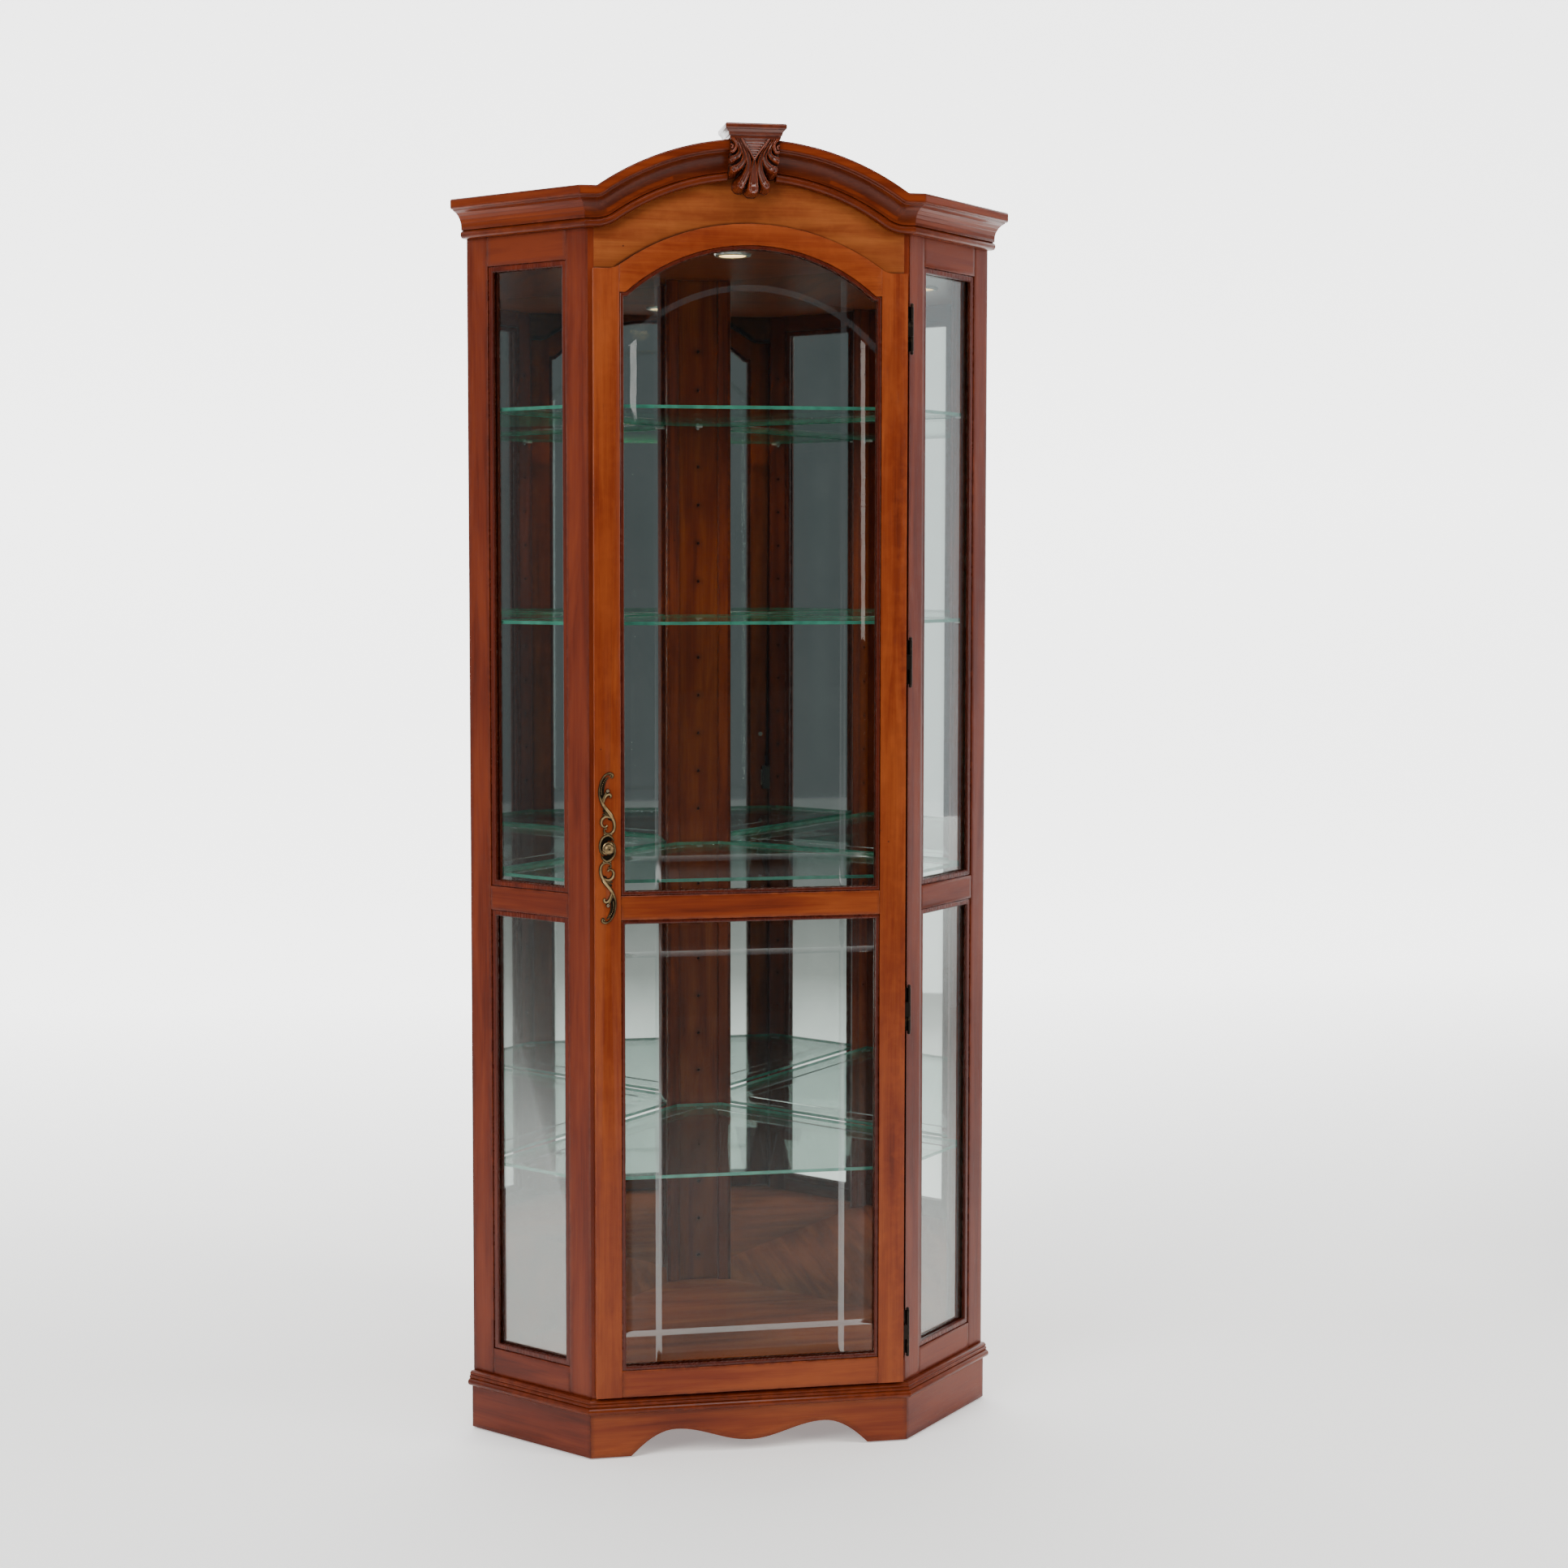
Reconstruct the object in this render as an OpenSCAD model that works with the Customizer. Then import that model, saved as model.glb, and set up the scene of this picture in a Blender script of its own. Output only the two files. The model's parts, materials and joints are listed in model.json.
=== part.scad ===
// Corner curio cabinet with one lipped glass door, angled glass sides, a
// mirrored back, four glass shelves on clips and an arched, carved crown.
// +Z is up and -Y is the front. The origin is on the floor, under the middle
// of the overall outline.

/* [Overall size] */
// Width of the body across its two front corners
front_w = 480; // [420:1:600]
// Length of each angled side, from the front corner to the wall
side_w = 233; // [190:1:300]
// Height of the posts above the floor
body_top = 1868; // [1500:1:2300]

/* [Base] */
// Height of the plinth, up to the top of its moulding
plinth_h = 91; // [80:1:140]
// Thickness of the plinth boards
plinth_t = 18; // [12:1:25]
// How far the plinth stands out past the body
plinth_out = 4; // [2:0.5:8]
// Leg length of the glued blocks in the plinth corners
corner_block = 40; // [25:1:60]
// Height of the reeded moulding on top of the plinth
base_mould_h = 22; // [18:1:30]
// Width of each foot of the scalloped front board
foot_w = 61; // [45:1:90]
// Height of the two arches of the scallop
scallop_h = 39.5; // [25:0.5:50]
// Height of the drop between the two arches
scallop_drop = 17; // [10:0.5:22]
// Distance from the middle to the crown of each arch
scallop_crown = 113; // [80:1:130]
// Height of the nail-on glides under the feet
glide_h = 2; // [1:0.5:4]
// Radius of the glides
glide_r = 8; // [5:0.5:9]
// Distance of the glides from the inner faces of the plinth
glide_in = 10; // [8:1:20]
// Thickness of the floor panel inside the cabinet
deck_t = 19; // [15:1:25]

/* [Side frames] */
// Thickness of the side frames
frame_t = 19; // [16:1:25]
// Face width of the side frame stiles
stile_w = 41; // [30:1:55]
// Width of the front face of a post beside the door
post_face = 9; // [7:0.5:15]
// Height of the underside of the middle rails
mid_rail_z = 810.5; // [700:0.5:900]
// Height of the middle rails
mid_rail_h = 36; // [28:1:50]
// Height of the bottom rails of the sides
bottom_rail_h = 41; // [35:1:60]
// Distance from the post tops down to the side glass
top_rail_h = 90; // [80:1:120]
// Thickness of all the pane glass
glass_t = 3; // [3:0.5:5]
// Width of the glazing beads of the sides
side_bead_w = 9; // [6:0.5:14]

/* [Back] */
// Thickness of the back boards
board_t = 6; // [4:0.5:10]
// Thickness of the mirrors
mirror_t = 4; // [3:0.5:6]
// Width of the posts between the side frames and the mirrors
corner_post_w = 28; // [20:1:40]
// Thickness of the corner posts and the centre post
back_post_t = 18; // [15:1:25]
// Half width of the plain face of the centre post
centre_face = 33; // [25:1:45]
// Setting of the centre post's face in front of the wall corner
centre_inset = 59.5; // [50:0.5:80]
// Size of the moulded strips along the mirrors
strip_w = 21; // [12:0.5:26]
// How far the strips stand out from the posts
strip_out = 5.5; // [3:0.5:8]

/* [Shelves] */
// Thickness of the glass shelves
shelf_t = 5; // [4:0.5:8]
// Gap between a shelf and the frames round it
shelf_gap = 3; // [2:0.5:8]
// Distance of a shelf's front edge behind the body front
shelf_front = 32; // [25:1:60]
// Spacing of the shelf pin holes
hole_pitch = 64; // [32:1:64]
// Height of the lowest pin hole above the deck
first_hole = 42.4; // [30:0.1:80]
// Radius of the pin holes
hole_r = 2.5; // [2:0.1:3.5]
// Depth of the pin holes
hole_depth = 10; // [6:1:12]
// Distance of the front hole columns from the inner edge of the stile
post_hole_in = 16; // [10:1:20]
// Distance of the top holes below the ceiling, at least
hole_clear = 90; // [60:1:150]
// Thickness of the pad of a shelf clip
pad_t = 2.4; // [1.5:0.1:4]
// Width of the pad of a shelf clip
clip_w = 10; // [6:1:16]
// Reach of the pad of a shelf clip
clip_reach = 14; // [8:1:20]
// Width of the plate groove cut in each shelf
plate_groove_w = 8; // [5:0.5:12]
// Distance of the plate groove from the back edges
plate_groove_in = 45; // [30:1:80]

/* [Door] */
// Thickness of the door
door_t = 20; // [18:0.5:24]
// Thickness of the lip that covers the posts
lip_t = 12.5; // [9:0.5:15]
// Overlap of the lip onto the posts and the frieze
door_lap = 3; // [2:0.5:5]
// Gap between the door and the opening that it fits
door_gap = 1.5; // [1:0.1:3]
// Height of the door's bottom edge above the floor moulding
door_rise = 4; // [2:0.5:10]
// Face width of the door stiles
door_stile_w = 39; // [30:1:50]
// Height of the door's bottom rail
door_bottom_h = 40; // [30:1:60]
// Distance from the post tops down to the door's flat shoulders
shoulder_drop = 106; // [95:1:130]
// Rise of the arched top above the shoulders
door_arch = 68; // [40:1:80]
// Length of the flat shoulder at each side of the arch
shoulder_flat = 22; // [15:1:30]
// Radius of the reverse curve that meets the shoulder
shoulder_r = 30; // [15:1:40]
// Distance from the shoulders down to the corners of the glass opening
top_rail_w = 34; // [25:1:50]
// Rise of the arched glass opening
glass_arch = 71; // [40:1:75]
// Length of the flat at each end of the glass arch
glass_flat = 9; // [5:1:20]
// Width of the moulded bead round the door glass
door_bead_w = 6; // [4:0.5:10]
// Depth of the glass behind the front of the door
glass_set = 9; // [7:0.5:11]
// Width of the V grooves cut in the door glass
v_groove_w = 9; // [5:0.5:12]
// Depth of the V grooves
v_groove_d = 1; // [0.5:0.1:1.5]
// Distance of the upright grooves from the edges of the opening
groove_in = 56; // [40:1:80]
// Distance of the level grooves from the rails
groove_up = 53; // [40:1:90]
// Rise of the arched groove between its two ends
arc_sag = 88; // [60:1:110]
// Depth of the arched groove's ends below the corners of the opening
arc_drop = 78; // [60:1:120]

/* [Hinges and pull] */
// Height of a hinge barrel
hinge_h = 66; // [50:1:80]
// Outer radius of the hinge knuckles
knuckle_r = 2.75; // [2.5:0.05:4]
// Gap between the knuckles of a hinge
knuckle_gap = 0.2; // [0.1:0.05:0.5]
// Radius of the hinge pins
pin_r = 1.5; // [1.2:0.05:2]
// Radial clearance of the pins in the moving knuckles
pin_clear = 0.05; // [0.02:0.01:0.1]
// Thickness of the hinge leaves
leaf_t = 1.2; // [0.8:0.1:1.6]
// Depth of the leaf on the post
leaf_deep = 16; // [14:0.5:20]
// Depth of the leaf on the door
leaf_wide = 9; // [8:0.5:10]
// Distance of the hinge screws from the ends of a leaf
hinge_screw_in = 10; // [7:0.5:14]
// Radius of the hinge screws
hinge_screw_r = 1.2; // [1:0.1:1.5]
// Length of the hinge screws
hinge_screw_l = 9; // [7:0.5:12]
// Distance of the hinge axis outside the front corner
axis_out = 2.5; // [2:0.1:4]
// Distance of the hinge axis in front of the posts
axis_front = 4; // [3.5:0.1:6]
// Height of the lowest hinge's middle above the door's bottom edge
hinge_low = 74; // [60:1:120]
// Depth of the highest hinge's middle below the shoulders
hinge_high = 80; // [60:1:120]
// Distance of the two middle hinges from halfway up
hinge_spread = 262; // [200:1:280]
// Height of the pull's middle above the middle rail
pull_up = 71.5; // [60:0.5:200]
// Height of the pull's backplate
plate_h = 221; // [180:1:240]
// Width of the pull's backplate
plate_w = 27; // [20:1:32]
// Thickness of the pull's backplate
plate_t = 3; // [2:0.5:4]
// Radius of the knob
knob_r = 8; // [6:0.5:10]
// Length of the knob in front of the backplate
knob_l = 17; // [12:1:24]
// Distance of the pull screws from the ends of the plate
pull_screw_in = 26; // [20:1:35]
// Radius of the pull screws
pull_screw_r = 2; // [1.5:0.1:2.5]
// Radius of the heads of the pull screws
pull_head_r = 3.8; // [3:0.1:5]
// Depth of the heads of the pull screws
pull_head_h = 2.2; // [1.5:0.1:3]
// Length of the magnetic catch
catch_l = 44; // [30:1:60]
// Depth of the magnetic catch
catch_d = 9; // [6:0.5:12]
// Reach of the catch from the post
catch_reach = 14; // [10:0.5:18]
// Length of the strike plate
strike_l = 30; // [20:1:40]
// Thickness of the strike plate
strike_t = 1.2; // [0.8:0.1:2]

/* [Crown] */
// Depth of the crown moulding's underside below the post tops
cornice_drop = 47; // [40:1:60]
// Height of the crown moulding
cornice_h = 56; // [50:1:58]
// How far the crown stands out from the body
cornice_out = 36; // [34:1:44]
// Rise of the crown's arch
cornice_arch = 72; // [50:1:85]
// Length of the crown's flat beside each front corner
cornice_flat = 9; // [6:1:15]
// Radius of the crown's reverse curve, along its underside
cornice_sweep = 60; // [60:1:75]
// Depth of the ceiling's underside below the post tops
ceiling_drop = 61; // [55:1:80]
// Thickness of the ceiling panel
ceiling_t = 18; // [12:1:22]
// Thickness of the arched frieze board
frieze_t = 19; // [16:1:22]
// Width of the keystone's cap
cap_w = 90; // [80:1:110]
// Height of the keystone's cap
cap_h = 21; // [16:1:28]
// How far the cap stands in front of the body
cap_out = 49; // [46:1:60]
// Width of the carved shell
shell_w = 83; // [70:1:90]
// Height of the carved shell
shell_h = 80; // [70:1:90]

/* [Lamp] */
// Radius of the lamp's trim ring
trim_r = 29; // [26:0.5:40]
// Radius of the hole for the lamp in the ceiling
lamp_hole_r = 26; // [22:0.5:35]
// Distance of the lamp behind the body front
lamp_y = 160; // [120:1:220]
// Height of the lamp housing above the ceiling
housing_h = 36; // [30:1:50]

/* [Fits] */
// Gap that keeps slanted faces and loose glass from biting into each other
snug = 0.02; // [0.01:0.01:0.05]
// Gap between the lip of the door and the front of the posts
seat_gap = 0.5; // [0.3:0.1:1]
// Depth that each pane reaches into the space behind its bead
glass_lap = 1; // [0.5:0.1:2]
// Reveal of the glazing beads behind the faces of their frames
bead_front = 1.5; // [0.5:0.1:3]
// Clearance round pins, screws and the lamp in their holes
fit_gap = 0.1; // [0.05:0.05:0.3]

/* [Hidden] */
$fn = 48;
BIG = 3000;
WOOD = [0.50, 0.20, 0.08];
DARK_WOOD = [0.36, 0.13, 0.06];
GLASS = [0.75, 0.88, 0.84, 0.35];
BRONZE = [0.12, 0.09, 0.07];

// The sides stand at 45 degrees, so that the two backs meet in a square corner.
c45 = cos(45);
half_w = front_w / 2;
mitre = tan(22.5);
wall_y = half_w + 2 * side_w * c45;
mid_y = (wall_y - cap_out) / 2;
// A plan point of the right side: u along it from the front corner, v inwards.
function side_pt(u, v) = [half_w + (u - v) * c45, (u + v) * c45];
function flip(p) = [-p.x, p.y];
apex_v = side_w + half_w / c45;
deck_top = plinth_h + deck_t;
ceiling_z = body_top - ceiling_drop;
side_open_w = side_w - 2 * stile_w;
side_glass_top = body_top - top_rail_h;
side_glass_v = (frame_t - glass_t) / 2;

// Door places.
jamb_x = half_w - post_face;
jamb_deep = 2 * frame_t * c45 - post_face;
door_half = jamb_x + door_lap;
door_front = -lip_t - seat_gap;
door_back = door_front + door_t;
door_z0 = plinth_h + door_rise;
shoulder_z = body_top - shoulder_drop;
open_half = door_half - door_stile_w;
open_z0 = door_z0 + door_bottom_h;
open_flat_z = shoulder_z - top_rail_w;
door_glass_y = door_front + glass_set;
groove_x = open_half - groove_in;
ax_x = half_w + axis_out;
ax_y = -axis_front;
hinge_mid = (door_z0 + hinge_low + shoulder_z - hinge_high) / 2;
hinge_zs = [door_z0 + hinge_low, hinge_mid - hinge_spread, hinge_mid + hinge_spread,
    shoulder_z - hinge_high];
pull_x = -(door_half + open_half) / 2;
pull_z = mid_rail_z + mid_rail_h + pull_up;

// Shelf places: every shelf sits at one of the holes.
hole_z0 = deck_top + first_hole;
hole_n = floor((ceiling_z - hole_clear - hole_z0) / hole_pitch) + 1;
shelf_share = [4 / 24, 11 / 24, 17 / 24, 22 / 24];
shelf_lift = hole_r + 0.8;
function shelf_z(i) = hole_z0 + round(shelf_share[i] * (hole_n - 1)) * hole_pitch
    + shelf_lift + snug;
centre_y = wall_y - centre_inset;
back_face_w = board_t + mirror_t;

// Crown places.
cornice_z = body_top - cornice_drop;
crown_z = cornice_z + cornice_arch + cornice_h;
cap_z = crown_z - 1;
key_half = cap_w / 2 - 9;

// An arch with reverse curves: its circles, and the outline moved out by off.
function arch_r(span, rise, sweep) = span * span / (2 * rise) + rise / 2 - sweep;
function arch_end(span, rise, sweep) = asin(span / (arch_r(span, rise, sweep) + sweep));
function arch_line(span, rise, sweep, z, off) =
    let (r = arch_r(span, rise, sweep), e = arch_end(span, rise, sweep), n = 8)
    concat(
        [for (i = [0:n]) [-span - (sweep - off) * sin(-e * i / n),
            z + sweep - (sweep - off) * cos(e * i / n)]],
        [for (i = [-n + 1:n - 1]) [(r + off) * sin(e * i / n),
            z + rise - r + (r + off) * cos(e * i / n)]],
        [for (i = [n:-1:0]) [span + (sweep - off) * sin(-e * i / n),
            z + sweep - (sweep - off) * cos(e * i / n)]]);
door_span = door_half - shoulder_flat;
function door_arch_line(off) = arch_line(door_span, door_arch, shoulder_r, shoulder_z, off);
crown_span = half_w - cornice_flat;
function crown_line(off) = arch_line(crown_span, cornice_arch, cornice_sweep, cornice_z, off);

// The arched glass opening, moved inwards by inset.
glass_chord = open_half - glass_flat;
glass_r = (glass_chord * glass_chord + glass_arch * glass_arch) / (2 * glass_arch);
glass_cz = open_flat_z + glass_arch - glass_r;
function glass_arc(inset) =
    let (r = glass_r - inset, e = acos((open_flat_z - inset - glass_cz) / r), n = 14)
    [for (i = [n:-1:-n]) [r * sin(e * i / n), glass_cz + r * cos(e * i / n)]];
function upper_open(inset) = concat(
    [[-open_half + inset, mid_rail_z + mid_rail_h + inset],
     [open_half - inset, mid_rail_z + mid_rail_h + inset],
     [open_half - inset, open_flat_z - inset]],
    glass_arc(inset), [[-open_half + inset, open_flat_z - inset]]);
function lower_open(inset) = [[-open_half + inset, open_z0 + inset],
    [open_half - inset, open_z0 + inset], [open_half - inset, mid_rail_z - inset],
    [-open_half + inset, mid_rail_z - inset]];

// The scalloped lower edge of the front board.
foot_x = half_w + plinth_out * mitre - foot_w;
function scallop_z(x) = abs(x) < scallop_crown
    ? scallop_drop + (scallop_h - scallop_drop) * (1 - cos(180 * x / scallop_crown)) / 2
    : scallop_h * pow(cos(90 * (abs(x) - scallop_crown) / (foot_x - scallop_crown)), 0.85);
function scallop() = [for (i = [-24:24]) let (x = foot_x * i / 24)
    [x, max(glide_h, scallop_z(x))]];

// Profiles: first number out from the face, second number up.
crown_profile = concat([[0, 0], [8, 0]],
    [for (a = [-60:30:60]) [8 + 6 * cos(a), 6 + 6 * sin(a)]],
    [[9, 12], [12, 12.5], [12, 16]],
    [for (a = [15:15:75]) [cornice_out - 24 * cos(a), 16 + 24 * sin(a)]],
    [[cornice_out - 5, 41], [cornice_out - 2, 41], [cornice_out, 43],
     [cornice_out, cornice_h - 2], [cornice_out - 1.5, cornice_h], [0, cornice_h]]);
base_profile = concat([[0, 0], [4, 0]],
    [for (a = [-60:30:60]) [4.5 + 5.5 * cos(a), 5.5 + 5.5 * sin(a)]],
    [for (a = [-60:30:60]) [3.6 + 2.6 * cos(a), 13.2 + 2.6 * sin(a)]],
    [for (a = [-60:30:60]) [2.4 + 2.4 * cos(a), 18.2 + 2.4 * sin(a)]],
    [[1.5, base_mould_h], [0, base_mould_h]]);

module centred() { translate([0, -mid_y, 0]) children(); }
module flat(z0, z1) { translate([0, 0, z0]) linear_extrude(z1 - z0) children(); }
module facing(y0, y1) {
    translate([0, y1, 0]) rotate([90, 0, 0]) linear_extrude(y1 - y0) children();
}
module right_side() { centred() translate([half_w, 0, 0]) rotate(45) children(); }
module left_side() { mirror([1, 0, 0]) right_side() children(); }
module right_back() {
    centred() translate([half_w + side_w * c45, side_w * c45, 0]) rotate(135) children();
}
module both() {
    children();
    mirror([1, 0, 0]) children();
}
module block(a, b) { translate(a) cube(b - a); }

// Everything in front of the corner mitres, and everything beside them.
module front_zone() {
    polygon([[-half_w - BIG * mitre, -BIG], [half_w + BIG * mitre, -BIG],
        [half_w - 100 * mitre, 100], [-half_w + 100 * mitre, 100]]);
}
module side_zone() {
    polygon([[-BIG * mitre, -BIG], [side_w, -BIG], [side_w, 100], [100 * mitre, 100]]);
}
module front_mould(profile, z, out) {
    intersection() {
        translate([-BIG, -out, z]) rotate([90, 0, 90]) linear_extrude(2 * BIG)
            polygon([for (p = profile) [-p.x, p.y]]);
        flat(z - 1, z + 200) front_zone();
    }
}
module side_mould(profile, z, out) {
    intersection() {
        translate([-BIG, -out, z]) rotate([90, 0, 90]) linear_extrude(2 * BIG)
            polygon([for (p = profile) [-p.x, p.y]]);
        flat(z - 1, z + 200) side_zone();
    }
}

// ---- Base ----
module plinth_front() {
    color(WOOD) centred() difference() {
        intersection() {
            block([-BIG, -plinth_out, glide_h], [BIG, plinth_t - plinth_out, plinth_h]);
            flat(0, BIG) front_zone();
        }
        facing(-50, 50) polygon(concat([[-foot_x, -10], [-foot_x, glide_h]], scallop(),
            [[foot_x, glide_h], [foot_x, -10]]));
    }
}
module plinth_sides() {
    color(WOOD) both() right_side() intersection() {
        block([-100, -plinth_out, glide_h], [side_w, plinth_t - plinth_out, plinth_h]);
        flat(0, BIG) side_zone();
    }
}
module plinth_backs() {
    inner = plinth_t - plinth_out;
    color(WOOD) centred() flat(glide_h, plinth_h) both() polygon([side_pt(side_w, inner),
        side_pt(side_w, apex_v), side_pt(side_w - plinth_t, apex_v - plinth_t),
        side_pt(side_w - plinth_t, inner)]);
}
module corner_blocks() {
    inner = plinth_t - plinth_out;
    leg = corner_block - snug;
    front_in = [half_w - inner * mitre - snug, inner + snug];
    color(DARK_WOOD) centred() flat(glide_h, plinth_h) {
        both() polygon([front_in, front_in + [leg * c45, leg * c45], front_in + [-leg, 0]]);
        both() polygon([side_pt(side_w - plinth_t, inner),
            side_pt(side_w - plinth_t, inner + leg), side_pt(side_w - plinth_t - leg, inner)]);
        polygon([[0, wall_y - plinth_t / c45], [leg * c45, wall_y - (plinth_t + leg / 2) / c45],
            [-leg * c45, wall_y - (plinth_t + leg / 2) / c45]]);
    }
}
module floor_glides() {
    spot = plinth_t - plinth_out + glide_in;
    front_spot = [half_w - spot * mitre - 8, spot];
    color("dimgray") centred() {
        both() translate(front_spot) cylinder(h = glide_h, r = glide_r);
        both() translate(side_pt(side_w - plinth_t - glide_in, spot)) cylinder(h = glide_h, r = glide_r);
        translate([0, wall_y - (plinth_t + 12) / c45]) cylinder(h = glide_h, r = glide_r);
    }
}
module base_moulding_front() {
    color(WOOD) centred() front_mould(base_profile, plinth_h - base_mould_h, plinth_out);
}
module base_moulding_sides() {
    color(WOOD) both() right_side()
        side_mould(base_profile, plinth_h - base_mould_h, plinth_out);
}

// The plan of a panel between the side frames and the back, from y to the backs.
module inside_plan(y, back_w) {
    jamb = [[jamb_x, y], [jamb_x, jamb_deep]];
    start = y < jamb_deep ? jamb : [side_pt(y / c45 - frame_t, frame_t)];
    right = concat(start, [side_pt(side_w - back_w, frame_t)]);
    apex = side_pt(side_w - back_w, apex_v - back_w);
    polygon(concat(right, [apex], [for (i = [len(right) - 1:-1:0]) flip(right[i])]));
}
module corner_notches() {
    both() polygon([side_pt(side_w + 1, frame_t - 1), side_pt(side_w + 1, frame_t + corner_post_w),
        side_pt(side_w - back_post_t, frame_t + corner_post_w),
        side_pt(side_w - back_post_t, frame_t - 1)]);
}
module bottom_deck() {
    color(WOOD) centred() flat(plinth_h, deck_top) difference() {
        inside_plan(0, board_t);
        corner_notches();
    }
}

// ---- Side frames ----
module pin_holes() {
    for (i = [0:hole_n - 1]) translate([0, 0, hole_z0 + i * hole_pitch])
        rotate([90, 0, 0]) cylinder(h = 2 * hole_depth, r = hole_r, center = true);
}
front_hole_u = stile_w - post_hole_in;
corner_hole_v = frame_t + corner_post_w / 2;
module front_post() {
    difference() {
        centred() flat(plinth_h, body_top) polygon([[jamb_x, 0], [half_w, 0],
            side_pt(stile_w, 0), side_pt(stile_w, frame_t), [jamb_x, jamb_deep]]);
        right_side() translate([front_hole_u, frame_t, 0]) pin_holes();
    }
}
module right_front_post() {
    color(WOOD) difference() {
        front_post();
        centred() hinge_mortises();
    }
}
module left_front_post() { color(WOOD) mirror([1, 0, 0]) front_post(); }
module back_stile() {
    block([side_w - stile_w, 0, plinth_h], [side_w, frame_t, body_top]);
}
module right_back_stile() { color(WOOD) right_side() back_stile(); }
module left_back_stile() { color(WOOD) left_side() back_stile(); }
module side_rails() {
    inner = side_w - stile_w;
    block([stile_w, 0, plinth_h], [inner, frame_t, plinth_h + bottom_rail_h]);
    block([stile_w, 0, mid_rail_z], [inner, frame_t, mid_rail_z + mid_rail_h]);
    block([stile_w, 0, side_glass_top], [inner, frame_t, body_top]);
}
module right_side_rails() { color(WOOD) right_side() side_rails(); }
module left_side_rails() { color(WOOD) left_side() side_rails(); }
side_openings = [[plinth_h + bottom_rail_h, mid_rail_z],
    [mid_rail_z + mid_rail_h, side_glass_top]];
module side_glass() {
    for (o = side_openings)
        block([stile_w + glass_lap, side_glass_v, o[0] + glass_lap],
            [side_w - stile_w - glass_lap, side_glass_v + glass_t, o[1] - glass_lap]);
}
module right_side_glass() { color(GLASS) right_side() side_glass(); }
module left_side_glass() { color(GLASS) left_side() side_glass(); }
module side_beads() {
    stops = [[bead_front, side_glass_v], [side_glass_v + glass_t, frame_t - 1]];
    for (o = side_openings, v = stops) difference() {
        block([stile_w, v[0], o[0]], [side_w - stile_w, v[1], o[1]]);
        block([stile_w + side_bead_w, -1, o[0] + side_bead_w],
            [side_w - stile_w - side_bead_w, 99, o[1] - side_bead_w]);
    }
}
module right_glazing_beads() { color(DARK_WOOD) right_side() side_beads(); }
module left_glazing_beads() { color(DARK_WOOD) left_side() side_beads(); }

// ---- Back ----
mirror_end = (centre_y - side_pt(side_w - board_t, 0).y) / c45 - 0.6;
module mirror_pane() {
    block([frame_t + corner_post_w + snug, board_t + snug, deck_top],
        [mirror_end, back_face_w, ceiling_z]);
}
module right_mirror() { color([0.85, 0.88, 0.9]) right_back() mirror_pane(); }
module left_mirror() { color([0.85, 0.88, 0.9]) mirror([1, 0, 0]) right_back() mirror_pane(); }
module back_boards() {
    color(DARK_WOOD) centred() flat(plinth_h, body_top) both() polygon([
        side_pt(side_w, frame_t), side_pt(side_w, apex_v),
        side_pt(side_w - board_t, apex_v - board_t), side_pt(side_w - board_t, frame_t)]);
}
module back_corner_posts() {
    color(WOOD) both() difference() {
        right_back() block([frame_t, board_t + snug, plinth_h],
            [frame_t + corner_post_w, back_post_t, body_top]);
        right_side() translate([side_w - back_post_t, corner_hole_v, 0]) rotate(90) pin_holes();
    }
}
// Half width of the centre post where it meets the back boards.
centre_half = wall_y - board_t / c45 - centre_y - 2 * snug;
module centre_back_post() {
    color(WOOD) difference() {
        centred() flat(deck_top, ceiling_z) polygon([[-centre_half, centre_y],
            [centre_half, centre_y], [centre_half - back_post_t, centre_y + back_post_t],
            [back_post_t - centre_half, centre_y + back_post_t]]);
        centred() translate([0, centre_y, 0]) pin_holes();
    }
}
module mirror_strips() {
    face = wall_y - back_face_w / c45;
    tip = centre_face + strip_w;
    color(WOOD) centred() flat(deck_top, ceiling_z) both() {
        polygon([[centre_face, centre_y], [centre_face, centre_y - strip_out],
            [tip - 4, face - tip - 1], [tip, face - tip], [face - centre_y, centre_y]]);
        polygon([side_pt(side_w - back_face_w, frame_t + corner_post_w),
            side_pt(side_w - back_post_t, frame_t + corner_post_w),
            side_pt(side_w - back_post_t, frame_t + corner_post_w + 3),
            side_pt(side_w - back_face_w, frame_t + corner_post_w + 12)]);
    }
}

// ---- Crown ----
module top_panel() {
    color(WOOD) centred() difference() {
        flat(ceiling_z, ceiling_z + ceiling_t) difference() {
            inside_plan(frieze_t, board_t);
            corner_notches();
        }
        translate([0, lamp_y, 0]) cylinder(h = BIG, r = lamp_hole_r);
    }
}
module frieze_board() {
    low = door_arch_line(-door_lap);
    high = crown_line(cornice_h - 2);
    color(WOOD) centred() facing(0, frieze_t) intersection() {
        polygon(concat([[-jamb_x, low[0].y]], low, [[jamb_x, low[0].y],
            [jamb_x, high[0].y]], [for (i = [len(high) - 1:-1:0]) high[i]],
            [[-jamb_x, high[0].y]]));
        translate([-jamb_x, 0]) square([2 * jamb_x, BIG]);
    }
}
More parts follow.
